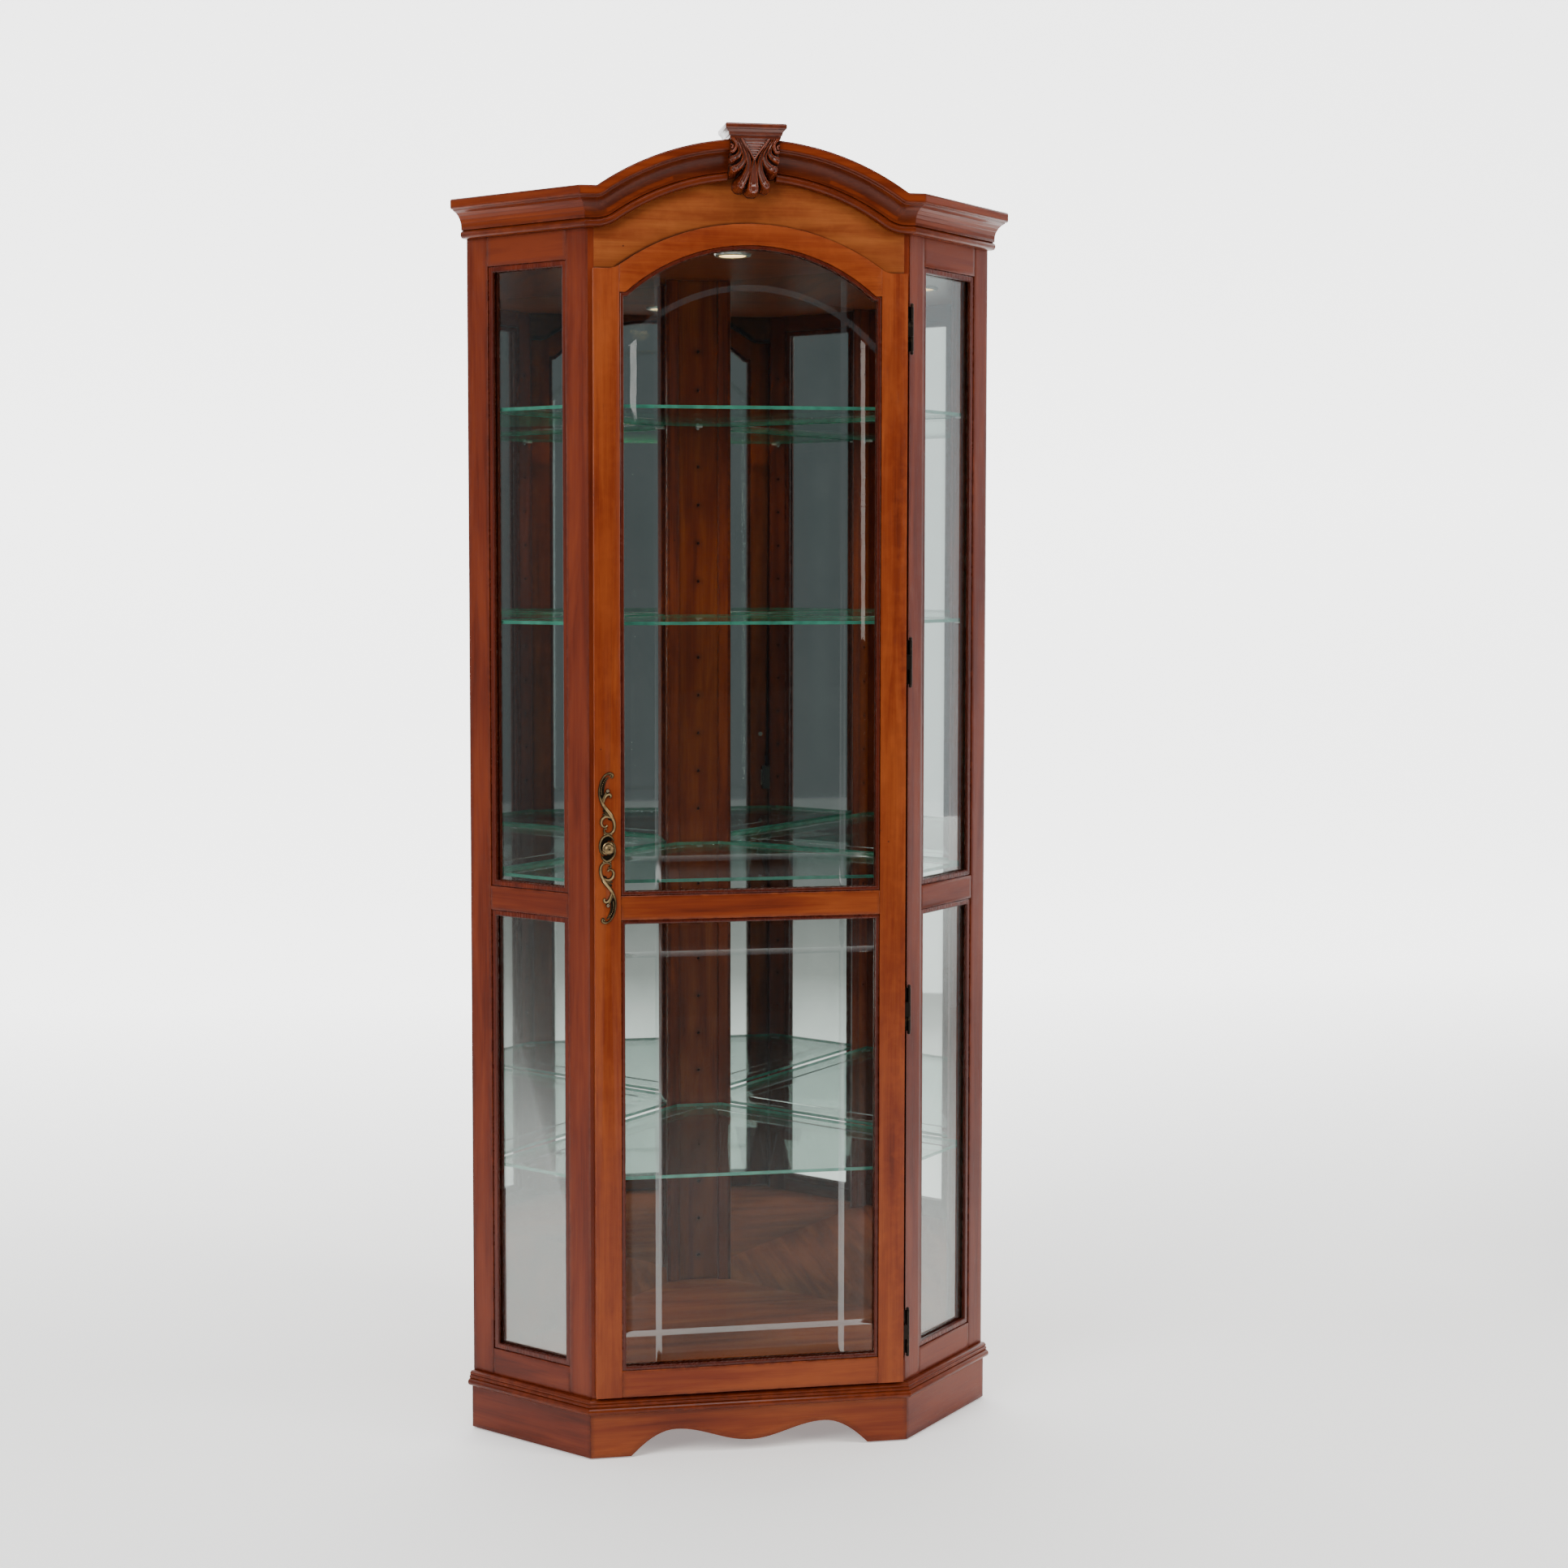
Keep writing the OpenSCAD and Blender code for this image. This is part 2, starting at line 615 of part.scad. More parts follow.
// The right half of the arched crown is swept along its underside, from the
// keystone over the arch and the reverse curve to the corner mitre. A station
// is a point of the profile, carried along the path that the arch follows.
crown_r = arch_r(crown_span, cornice_arch, cornice_sweep);
crown_turn = arch_end(crown_span, cornice_arch, cornice_sweep);
crown_cz = cornice_z + cornice_arch - crown_r;
arch_steps = 22;
sweep_steps = 8;
function key_station(p) = let (a = asin(key_half / (crown_r + p.y)))
    [key_half, -p.x, crown_cz + (crown_r + p.y) * cos(a)];
function arch_station(p, a) = [(crown_r + p.y) * sin(a), -p.x, crown_cz + (crown_r + p.y) * cos(a)];
function sweep_station(p, a) = [crown_span - (cornice_sweep - p.y) * sin(a), -p.x,
    cornice_z + cornice_sweep - (cornice_sweep - p.y) * cos(a)];
function corner_station(p) = [half_w + p.x * mitre, -p.x, cornice_z + p.y];
module crown_half() {
    first = asin((key_half + 8) / crown_r);
    rings = concat(
        [[for (p = crown_profile) key_station(p)]],
        [for (i = [0:arch_steps]) let (a = first + (crown_turn - first) * i / arch_steps)
            [for (p = crown_profile) arch_station(p, a)]],
        [for (i = [sweep_steps - 1:-1:0])
            [for (p = crown_profile) sweep_station(p, crown_turn * i / sweep_steps)]],
        [[for (p = crown_profile) corner_station(p)]]);
    n = len(crown_profile);
    last = len(rings) - 1;
    polyhedron([for (ring = rings, p = ring) p], concat(
        [[for (j = [0:n - 1]) j]],
        [for (i = [0:last - 1], j = [0:n - 1]) [i * n + j, (i + 1) * n + j,
            (i + 1) * n + (j + 1) % n, i * n + (j + 1) % n]],
        [[for (j = [n - 1:-1:0]) last * n + j]]));
}
module cornice_front_right() { color(WOOD) centred() crown_half(); }
module cornice_front_left() { color(WOOD) mirror([1, 0, 0]) centred() crown_half(); }
module cornice_sides() { color(WOOD) both() right_side() side_mould(crown_profile, cornice_z, 0); }
// The cap's moulded edge: how far in from the top edge, and how high.
cap_edge = [[7.5, 0], [7.5, 4], [6, 4.5], [5, 9], [2, 12.5], [1, 13], [0, 15], [0, cap_h - 2],
    [1.5, cap_h]];
module keystone_cap() {
    last = len(cap_edge) - 1;
    front = [for (p = cap_edge) [cap_w / 2 - p.x, cap_z + p.y]];
    color(WOOD) centred() intersection() {
        facing(-cap_out, frieze_t)
            polygon(concat(front, [for (i = [last:-1:0]) flip(front[i])]));
        rotate([90, 0, 90]) linear_extrude(cap_w, center = true)
            polygon(concat([for (p = cap_edge) [p.x - cap_out, cap_z + p.y]],
                [[frieze_t, cap_z + cap_h], [frieze_t, cap_z]]));
    }
}
module shell_carving() {
    lobe_r = shell_h - 56;
    color(WOOD) centred() {
        facing(5 - cap_out, 0) polygon([[-key_half, cap_z - 36], [0, cap_z - 50],
            [key_half, cap_z - 36], [key_half, cap_z], [-key_half, cap_z]]);
        facing(15 - cap_out, 0) intersection() {
            square([2 * key_half, BIG * 2], center = true);
            for (a = [-60:30:60])
                translate([shell_w / 4 * sin(a), cap_z - 30 - 26 * cos(a)]) circle(r = lobe_r);
        }
    }
}

// ---- Lamp ----
wall_t = 2;
module light_housing() {
    top = ceiling_z + ceiling_t;
    color("silver") centred() translate([0, lamp_y, 0]) difference() {
        union() {
            translate([0, 0, ceiling_z]) cylinder(h = ceiling_t + housing_h, r = lamp_hole_r - 5 * fit_gap);
            translate([0, 0, top]) cylinder(h = wall_t, r = lamp_hole_r + 5);
        }
        translate([0, 0, ceiling_z - 1]) cylinder(h = ceiling_t + housing_h - 1, r = lamp_hole_r - wall_t);
        translate([0, 0, ceiling_z]) cylinder(h = BIG, r = 4);
    }
}
module light_trim_ring() {
    color("silver") centred() translate([0, lamp_y, 0]) rotate_extrude()
        polygon([[lamp_hole_r - 5, ceiling_z - 3], [lamp_hole_r - 1, ceiling_z - 4],
            [trim_r - 1, ceiling_z - 3], [trim_r, ceiling_z], [lamp_hole_r - 5, ceiling_z]]);
}
module light_lens() {
    color([1, 0.95, 0.85]) centred() translate([0, lamp_y, ceiling_z])
        cylinder(h = wall_t, r = lamp_hole_r - wall_t - 2 * fit_gap);
}
module lamp_bulb() {
    color([1, 0.9, 0.7]) centred() translate([0, lamp_y, ceiling_z + 6]) {
        cylinder(h = 14, r1 = 19, r2 = 12);
        translate([0, 0, 14]) cylinder(h = 14, r = 8);
    }
}
module cord_grommet() {
    color("dimgray") centred() translate([0, lamp_y, ceiling_z + ceiling_t + housing_h - 4])
        difference() {
            union() {
                cylinder(h = 8, r = 4);
                translate([0, 0, 4]) cylinder(h = 3, r = 7);
            }
            translate([0, 0, -1]) cylinder(h = 12, r = 2.5);
        }
}

// ---- Shelves ----
// A clip on a face that looks along +Y: its pin goes into the post along -Y.
module clip(reach) {
    rotate([90, 0, 0]) cylinder(h = hole_depth - 1, r = hole_r - fit_gap);
    block([-clip_w / 2, 0, shelf_lift - pad_t], [clip_w / 2, reach, shelf_lift]);
}
module shelf_clips() {
    color([0.9, 0.95, 0.95, 0.5]) for (i = [0:3]) {
        z = shelf_z(i) - shelf_lift - snug;
        both() right_side() translate([front_hole_u, frame_t, z]) clip(clip_reach);
        both() right_side() translate([side_w - back_post_t, corner_hole_v, z]) rotate(90)
            clip(clip_reach);
        centred() translate([0, centre_y, z]) rotate(180) clip(clip_reach + strip_out);
    }
}
module shelf(i) {
    z = shelf_z(i);
    back = back_post_t + shelf_gap;
    side = frame_t + shelf_gap;
    front_corner = side_pt(shelf_front / c45 - side, side);
    back_corner = side_pt(side_w - back, side);
    apex_half = wall_y - back / c45 - (centre_y - strip_out - shelf_gap);
    apex = [apex_half, centre_y - strip_out - shelf_gap];
    color(GLASS) centred() difference() {
        flat(z, z + shelf_t) polygon([front_corner, back_corner, apex, flip(apex),
            flip(back_corner), flip(front_corner)]);
        groove = wall_y - (back + plate_groove_in) / c45;
        both() translate([0, groove, z + shelf_t]) rotate(-45) rotate([0, 90, 0])
            translate([0, 0, 25]) linear_extrude(apex_v - 120)
                polygon([[-1, -plate_groove_w / 2], [0, -plate_groove_w / 2], [1, 0],
                    [0, plate_groove_w / 2], [-1, plate_groove_w / 2]]);
    }
}
module shelf_1() { shelf(0); }
module shelf_2() { shelf(1); }
module shelf_3() { shelf(2); }
module shelf_4() { shelf(3); }

// ---- Door ----
// The door's outline and the smaller outline that enters the opening.
module door_blank() {
    lip = door_arch_line(0);
    tongue = door_arch_line(-door_lap - door_gap);
    tongue_half = jamb_x - door_gap;
    facing(door_front, -seat_gap) polygon(concat([[-door_half, door_z0],
        [-door_half, shoulder_z]], lip, [[door_half, shoulder_z], [door_half, door_z0]]));
    facing(-seat_gap, door_back) polygon(concat([[-tongue_half, deck_top + door_gap],
        [-tongue_half, tongue[0].y]], tongue,
        [[tongue_half, tongue[0].y], [tongue_half, deck_top + door_gap]]));
}
module strike_mortise() {
    block([1 - tongue_edge, door_back - strike_t, catch_z - strike_l / 2],
        [catch_reach - tongue_edge, door_back + 1, catch_z + strike_l / 2]);
}
tongue_edge = jamb_x - door_gap;
catch_z = pull_z;
head_seat = 3;
module pull_holes() {
    for (s = [-1, 1]) translate([pull_x, 0, pull_z + s * screw_reach]) rotate([90, 0, 0]) {
        cylinder(h = 100, r = pull_screw_r + 2 * fit_gap, center = true);
        translate([0, 0, -99]) cylinder(h = 99 - door_back + head_seat, r = pull_head_r + 0.4);
    }
}
screw_reach = plate_h / 2 - pull_screw_in;
module door_part(low, high) {
    color(WOOD) centred() difference() {
        intersection() {
            door_blank();
            block(low, high);
        }
        facing(-99, 99) {
            polygon(upper_open(0));
            polygon(lower_open(0));
        }
        hinge_door_mortises();
        pull_holes();
        strike_mortise();
    }
}
module door_left_stile() { door_part([-BIG, -99, 0], [-open_half, 99, BIG]); }
module door_right_stile() { door_part([open_half, -99, 0], [BIG, 99, BIG]); }
module door_top_rail() { door_part([-open_half, -99, mid_rail_z + 99], [open_half, 99, BIG]); }
module door_mid_rail() {
    door_part([-open_half, -99, mid_rail_z], [open_half, 99, mid_rail_z + mid_rail_h]);
}
module door_bottom_rail() { door_part([-open_half, -99, 0], [open_half, 99, mid_rail_z - 99]); }
module vee(length) {
    rotate([0, 90, 0]) linear_extrude(length) polygon([[-v_groove_w / 2, -1],
        [-v_groove_w / 2, 0], [0, v_groove_d], [v_groove_w / 2, 0], [v_groove_w / 2, -1]]);
}
module level_vee(z) { translate([-BIG / 2, door_glass_y, z]) vee(BIG); }
module upright_vees() {
    both() translate([groove_x, door_glass_y, BIG]) rotate([0, 90, 0]) vee(BIG);
}
module arc_vee() {
    half = open_half - door_bead_w;
    r = (half * half + arc_sag * arc_sag) / (2 * arc_sag);
    ends = open_flat_z - arc_drop;
    intersection() {
        translate([0, door_glass_y, ends + arc_sag - r]) rotate([-90, 0, 0])
            rotate_extrude($fn = 180) polygon([[r - v_groove_w / 2, -1],
                [r - v_groove_w / 2, 0], [r, v_groove_d], [r + v_groove_w / 2, 0],
                [r + v_groove_w / 2, -1]]);
        block([-BIG, -BIG, ends - 2 * v_groove_w], [BIG, BIG, BIG]);
    }
}
module door_upper_glass() {
    color(GLASS) centred() difference() {
        facing(door_glass_y, door_glass_y + glass_t) polygon(upper_open(glass_lap));
        level_vee(mid_rail_z + mid_rail_h + groove_up);
        upright_vees();
        arc_vee();
    }
}
module door_lower_glass() {
    color(GLASS) centred() difference() {
        facing(door_glass_y, door_glass_y + glass_t) polygon(lower_open(glass_lap));
        level_vee(mid_rail_z - groove_up);
        level_vee(open_z0 + groove_up);
        upright_vees();
    }
}
module door_rings(y0, y1) {
    facing(y0, y1) difference() {
        polygon(upper_open(0));
        polygon(upper_open(door_bead_w));
    }
    facing(y0, y1) difference() {
        polygon(lower_open(0));
        polygon(lower_open(door_bead_w));
    }
}
module door_glazing_beads() {
    color(DARK_WOOD) centred() door_rings(door_front + 1, door_glass_y);
}
module door_glass_retainers() {
    color(DARK_WOOD) centred() door_rings(door_glass_y + glass_t, door_back - 1);
}

// ---- Pull and catch ----
module pull_backplate() {
    color([0.35, 0.26, 0.14]) centred() difference() {
        translate([pull_x, 0, pull_z]) facing(door_front - plate_t, door_front) {
            for (s = [-1, 1]) {
                translate([0, s * (plate_h / 2 - 9)]) circle(r = 9);
                translate([0, s * (plate_h / 2 - 40)]) circle(r = plate_w / 2);
                translate([0, s * 38]) circle(r = 10);
            }
            circle(r = plate_w / 2);
            square([12, plate_h - 14], center = true);
        }
        pull_holes();
    }
}
module pull_knob() {
    neck = 4;
    color([0.35, 0.26, 0.14]) centred() translate([pull_x, door_front - plate_t, pull_z])
        rotate([90, 0, 0]) rotate_extrude() polygon(concat([[0, 0], [neck + 2, 0],
            [neck, 2], [neck, knob_l - 12]],
            [for (a = [-60:20:90]) [knob_r * cos(a), knob_l - 5 + 5 * sin(a)]]));
}
module pull_screws() {
    color("dimgray") centred() for (s = [-1, 1])
        translate([pull_x, door_back - head_seat, pull_z + s * screw_reach]) rotate([90, 0, 0]) {
            cylinder(h = door_t - head_seat + plate_t, r = pull_screw_r);
            translate([0, 0, -pull_head_h]) cylinder(h = pull_head_h, r = pull_head_r);
        }
}
catch_y = door_back + 0.5;
module strike_plate() {
    color("silver") centred() block(
        [1 - tongue_edge, door_back - strike_t, catch_z - strike_l / 2],
        [catch_reach - tongue_edge, door_back, catch_z + strike_l / 2]);
}
module magnetic_catch() {
    color([0.3, 0.3, 0.3]) centred()
        block([-jamb_x, catch_y, catch_z - catch_l / 2],
            [catch_reach - jamb_x, catch_y + catch_d, catch_z + catch_l / 2]);
}

// ---- Hinges ----
// Each hinge has a knuckle of the door leaf between two of the frame leaf.
knuckle_h = hinge_h / 3;
screw_z = hinge_h / 2 - hinge_screw_in;
pilot_r = hinge_screw_r + fit_gap;
module each_hinge() {
    for (z = hinge_zs) translate([0, 0, z]) children();
}
module frame_leaf_plan() {
    translate([jamb_x, 0]) square([leaf_t, leaf_deep]);
    translate([jamb_x, 0]) square([half_w - jamb_x - 2, leaf_t]);
}
module door_leaf_plan() {
    translate([door_half - leaf_t, door_front + 1]) square([leaf_t, leaf_wide]);
}
module hinge_mortises() {
    each_hinge() flat(-hinge_h / 2, hinge_h / 2) frame_leaf_plan();
    each_hinge() frame_screw_places() cylinder(h = hinge_screw_l, r = pilot_r);
}
module hinge_door_mortises() {
    each_hinge() flat(-hinge_h / 2, hinge_h / 2) door_leaf_plan();
    each_hinge() door_screw_places() cylinder(h = hinge_screw_l + 4, r = pilot_r);
}
module frame_screw_places() {
    for (s = [-1, 1]) translate([jamb_x + leaf_t, leaf_deep - 6, s * screw_z])
        rotate([0, 90, 0]) children();
}
module door_screw_places() {
    for (s = [-1, 1]) translate([door_half - leaf_t, door_front + 1 + leaf_wide / 2, s * screw_z])
        rotate([0, -90, 0]) children();
}
module knuckle(z0, z1, bore) {
    translate([ax_x, ax_y, z0]) difference() {
        cylinder(h = z1 - z0, r = knuckle_r);
        translate([0, 0, -1]) cylinder(h = z1 - z0 + 2, r = bore);
    }
}
module frame_knuckle(z0, z1) {
    neck_x = half_w - 3;
    knuckle(z0, z1, pin_r);
    difference() {
        flat(z0, z1) polygon([[neck_x - 1.5, 0.2], [neck_x - 1.5, -1], [neck_x, -1.8],
            [ax_x, ax_y + knuckle_r - 0.4], [ax_x, ax_y + knuckle_r - 0.1],
            [neck_x + 1, 0], [neck_x + 1, 0.2]]);
        translate([ax_x, ax_y, z0 - 1]) cylinder(h = z1 - z0 + 2, r = pin_r + 0.3);
    }
}
module hinge_frame_leaves() {
    half = hinge_h / 2;
    color(BRONZE) centred() each_hinge() {
        difference() {
            flat(-half, half) frame_leaf_plan();
            frame_screw_places() translate([0, 0, -leaf_t - 1]) cylinder(h = 5, r = pilot_r);
        }
        frame_knuckle(-half, -knuckle_h / 2 - knuckle_gap);
        frame_knuckle(knuckle_h / 2 + knuckle_gap, half);
    }
}
module hinge_door_leaves() {
    half = hinge_h / 2;
    mid = knuckle_h / 2;
    top = ax_y - knuckle_r + 0.1;
    color(BRONZE) centred() each_hinge() {
        difference() {
            flat(-half, half) door_leaf_plan();
            door_screw_places() translate([0, 0, -leaf_t - 1]) cylinder(h = 5, r = pilot_r);
        }
        knuckle(-mid, mid, pin_r + pin_clear);
        block([door_half - 0.2, top, -mid], [ax_x - 0.5, top + 0.9, mid]);
    }
}
module hinge_pins() {
    color(BRONZE) centred() each_hinge() translate([ax_x, ax_y, 0]) {
        cylinder(h = hinge_h + 2, r = pin_r, center = true);
        for (s = [-1, 1]) translate([0, 0, s * (hinge_h / 2 + 2.4)]) sphere(r = 2.6);
    }
}
module screw(length) {
    cylinder(h = length, r = hinge_screw_r);
    translate([0, 0, -0.8]) cylinder(h = 0.8, r = hinge_screw_r + 1.1);
}
module hinge_frame_screws() {
    color(BRONZE) centred() each_hinge() frame_screw_places() translate([0, 0, -leaf_t])
        screw(9);
}
module hinge_door_screws() {
    color(BRONZE) centred() each_hinge() door_screw_places() translate([0, 0, -leaf_t])
        screw(12);
}

plinth_front();
plinth_sides();
plinth_backs();
corner_blocks();
floor_glides();
base_moulding_front();
base_moulding_sides();
bottom_deck();
left_front_post();
right_front_post();
left_back_stile();
right_back_stile();
left_side_rails();
right_side_rails();
left_side_glass();
right_side_glass();
left_glazing_beads();
right_glazing_beads();
left_mirror();
right_mirror();
back_boards();
back_corner_posts();
centre_back_post();
mirror_strips();
top_panel();
frieze_board();
cornice_front_left();
cornice_front_right();
cornice_sides();
keystone_cap();
shell_carving();
light_housing();
light_trim_ring();
light_lens();
lamp_bulb();
cord_grommet();
shelf_clips();
shelf_1();
shelf_2();
shelf_3();
shelf_4();
door_left_stile();
door_right_stile();
door_top_rail();
door_mid_rail();
door_bottom_rail();
door_upper_glass();
door_lower_glass();
door_glazing_beads();
door_glass_retainers();
pull_backplate();
pull_knob();
pull_screws();
strike_plate();
magnetic_catch();
hinge_frame_leaves();
hinge_door_leaves();
hinge_pins();
hinge_frame_screws();
hinge_door_screws();
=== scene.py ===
# The looks of a corner curio cabinet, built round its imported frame.
# Units are metres. +Z is up, -Y is the door side, +X is to the right.
import json
import math

import bmesh
import bpy
import numpy as np
from mathutils import Matrix, Vector


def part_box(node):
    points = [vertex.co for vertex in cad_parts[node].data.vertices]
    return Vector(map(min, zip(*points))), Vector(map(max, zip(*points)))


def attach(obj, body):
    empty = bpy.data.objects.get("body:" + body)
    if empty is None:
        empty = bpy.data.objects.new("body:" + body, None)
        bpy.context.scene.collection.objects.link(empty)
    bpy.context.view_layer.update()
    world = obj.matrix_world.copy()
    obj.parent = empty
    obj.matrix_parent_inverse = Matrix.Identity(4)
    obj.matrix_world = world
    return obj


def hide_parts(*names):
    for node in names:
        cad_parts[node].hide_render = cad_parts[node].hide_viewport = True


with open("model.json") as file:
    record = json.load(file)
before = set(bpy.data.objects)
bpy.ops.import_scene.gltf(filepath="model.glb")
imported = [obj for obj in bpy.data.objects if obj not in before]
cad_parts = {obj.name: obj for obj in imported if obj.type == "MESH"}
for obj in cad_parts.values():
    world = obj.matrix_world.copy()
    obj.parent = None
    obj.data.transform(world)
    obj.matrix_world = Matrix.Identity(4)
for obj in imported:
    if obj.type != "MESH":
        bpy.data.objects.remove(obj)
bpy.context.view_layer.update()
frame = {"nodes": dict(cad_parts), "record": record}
MM = 0.001
C45 = math.cos(math.radians(45))


# ---------------------------------------------------------------- shader helpers
class Sock:
    """A shader socket or a number, so that masks can be written as sums and products."""

    def __init__(self, mat, out):
        self.mat = mat
        self.out = out

    def _math(self, op, *others, swap=False):
        values = [self, *others]
        if swap:
            values.reverse()
        return self.mat.node("ShaderNodeMath", {"operation": op}, values)

    def __add__(self, o):
        return self._math("ADD", o)

    __radd__ = __add__

    def __mul__(self, o):
        return self._math("MULTIPLY", o)

    __rmul__ = __mul__

    def __sub__(self, o):
        return self._math("SUBTRACT", o)

    def __rsub__(self, o):
        return self._math("SUBTRACT", o, swap=True)

    def __truediv__(self, o):
        return self._math("DIVIDE", o)

    def __pow__(self, o):
        return self._math("POWER", o)

    def above(self, low, high):
        """0 at low and 1 at high, clamped."""
        return self.mat.node("ShaderNodeMapRange", {"clamp": True},
                             {"Value": self, "From Min": low, "From Max": high})


class Mat:
    """One material: a node maker and a few patterns that every finish uses."""

    def __init__(self, name):
        self.data = bpy.data.materials.new(name)
        self.data.use_nodes = True
        self.tree = self.data.node_tree
        self.shader = self.tree.nodes["Principled BSDF"]
        self.exit = self.tree.nodes["Material Output"]

    def link(self, value, socket):
        if isinstance(value, Sock):
            self.tree.links.new(value.out, socket)
        else:
            socket.default_value = value

    def node(self, kind, settings=None, inputs=None, out=0):
        n = self.tree.nodes.new(kind)
        for key, value in (settings or {}).items():
            if key == "stops":
                ramp = n.color_ramp.elements
                for _ in range(len(value) - len(ramp)):
                    ramp.new(0.5)
                for element, (place, colour) in zip(ramp, value):
                    element.position = place
                    element.color = (*colour, 1)
            else:
                setattr(n, key, value)
        pairs = inputs.items() if isinstance(inputs, dict) else enumerate(inputs or [])
        for key, value in pairs:
            self.link(value, n.inputs[key])
        return Sock(self, n.outputs[out])

    def place(self):
        return self.node("ShaderNodeTexCoord", out="Object")

    def grain_map(self, along=1.0, across=1.0):
        uv = self.node("ShaderNodeUVMap", {"uv_map": "grain"})
        return self.node("ShaderNodeMapping", {}, {"Vector": uv, "Scale": (across, along, 1)})

    def attr(self, name):
        return self.node("ShaderNodeAttribute", {"attribute_name": name}, out="Fac")

    def noise(self, where, scale, detail=3.0, rough=0.5, twist=0.0):
        return self.node("ShaderNodeTexNoise", {},
                         {"Vector": where, "Scale": scale, "Detail": detail,
                          "Roughness": rough, "Distortion": twist})

    def mix(self, share, a, b):
        n = self.tree.nodes.new("ShaderNodeMix")
        n.data_type = "RGBA"
        for value, socket in ((share, n.inputs[0]), (a, n.inputs[6]), (b, n.inputs[7])):
            if isinstance(value, tuple) and len(value) == 3:
                value = (*value, 1)
            self.link(value, socket)
        return Sock(self, n.outputs[2])

    def ramp(self, value, stops):
        return self.node("ShaderNodeValToRGB", {"stops": stops}, [value])

    def bump(self, height, strength, distance):
        self.set("Normal", self.node("ShaderNodeBump", {},
                                     {"Strength": strength, "Distance": distance,
                                      "Height": height}))

    def set(self, name, value):
        self.link(value, self.shader.inputs[name])
        return self


# ---------------------------------------------------------------- finishes
def cherry(name, light, mid, dark, recess_shade=0.75, shine=0.30, coat=0.10, gloss=0.16, edge_wear_and_highlight=0.42,
           lines=None):
    """Lacquered cherry: grain along the board, painted shade in the recesses, face borders darkened by toning
    and painted shade, and edges lightened by rubbed wear and a painted highlight.
    """
    m = Mat(name)
    broad = m.noise(m.grain_map(1.3, 14), 3.0, 4, 0.55, 0.6)
    fine = m.noise(m.grain_map(6, 420), 1.0, 5, 0.6)
    pores = m.noise(m.grain_map(28, 1500), 1.0, 2, 0.5).above(0.60, 0.74)
    clouds = m.noise(m.place(), 3.2, 2, 0.5)
    tone = broad * 0.55 + fine * 0.2 + clouds * 0.35
    base = m.ramp(tone, [(0.36, dark), (0.50, mid), (0.66, light)])
    base = m.mix(pores * 0.35, base, tuple(c * 0.45 for c in dark))
    # Face borders darkened: partly real toning, partly painted shade along edges, joints and holes.
    rim = m.attr("rim")
    uneven = m.noise(m.place(), 26, 3, 0.6)
    toned_and_shaded = (1 - rim) * (0.45 + uneven * 0.5)
    base = m.mix(toned_and_shaded * 0.55, base, tuple(c * 0.55 for c in dark))
    # Painted shade: the hollows, as stored in cavity, are painted near black.
    cavity = m.attr("cavity")
    base = m.mix(cavity * recess_shade, base, (0.022, 0.007, 0.004))
    # Painted shadow: lines, when given, is a mask painted near black; the frieze uses it for the door shadow.
    if lines:
        base = m.mix(lines(m), base, (0.020, 0.007, 0.004))
    # Edges lightened in patches: partly rubbed wear, partly a painted highlight.
    scuff_and_glint_patches = m.noise(m.place(), 60, 3, 0.6).above(0.46, 0.62)
    arris = m.attr("arris") * scuff_and_glint_patches
    base = m.mix(arris * edge_wear_and_highlight, base, tuple(min(1, c * 1.7) for c in light))
    cells = m.node("ShaderNodeTexVoronoi", {"feature": "F1"},
                   {"Vector": m.place(), "Scale": 34.0, "Randomness": 1.0}, out="Distance")
    few = m.noise(m.place(), 9, 1, 0.5).above(0.56, 0.62)
    specks = (1 - cells.above(0.03, 0.055)) * few
    base = m.mix(specks * 0.85, base, (0.012, 0.006, 0.004))
    m.set("Base Color", base)
    m.set("Roughness", shine + fine * 0.10 + cavity * 0.12 + arris * 0.08)
    m.set("Coat Weight", coat).set("Coat Roughness", 0.13)
    m.set("Specular IOR Level", gloss)
    height = fine * 0.35 - pores * 0.5 - specks * 1.6
    m.bump(height, 0.35, 0.0004)
    return m.data


def door_shadow(m):
    """The painted shadow on the frieze along the door's arched top edge."""
    rail = [v.co for v in frame["nodes"]["door_top_rail"].data.vertices]
    stile = [v.co for v in frame["nodes"]["door_left_stile"].data.vertices]
    top = max(c.z for c in rail)
    outer = min(c.x for c in stile)
    shoulder = max(c.z for c in stile if c.x < outer + 5 * MM)
    spot = max((c for c in rail if abs(c.x) > 0.12), key=lambda c: c.z)
    drop = top - spot.z
    radius = (spot.x ** 2 + drop ** 2) / (2 * drop)
    split = m.tree.nodes.new("ShaderNodeSeparateXYZ")
    m.link(m.place(), split.inputs[0])
    x, z = Sock(m, split.outputs[0]), Sock(m, split.outputs[2])
    rise = z - (top - radius)
    from_arch = (x * x + rise * rise) ** 0.5 - radius
    from_shoulder = z - shoulder
    away = from_arch._math("MINIMUM", from_shoulder)
    return (1 - away.above(0.0014, 0.0048)) * 0.9


def raw_board():
    m = Mat("unfinished_board")
    speckle = m.noise(m.place(), 700, 3, 0.7)
    patch = m.noise(m.place(), 5, 3, 0.5)
    base = m.ramp(speckle * 0.6 + patch * 0.4,
                  [(0.35, (0.20, 0.125, 0.07)), (0.55, (0.31, 0.21, 0.13)),
                   (0.7, (0.40, 0.29, 0.19))])
    m.set("Base Color", base).set("Roughness", 0.78 + speckle * 0.1)
    m.bump(speckle, 0.4, 0.0005)
    return m.data


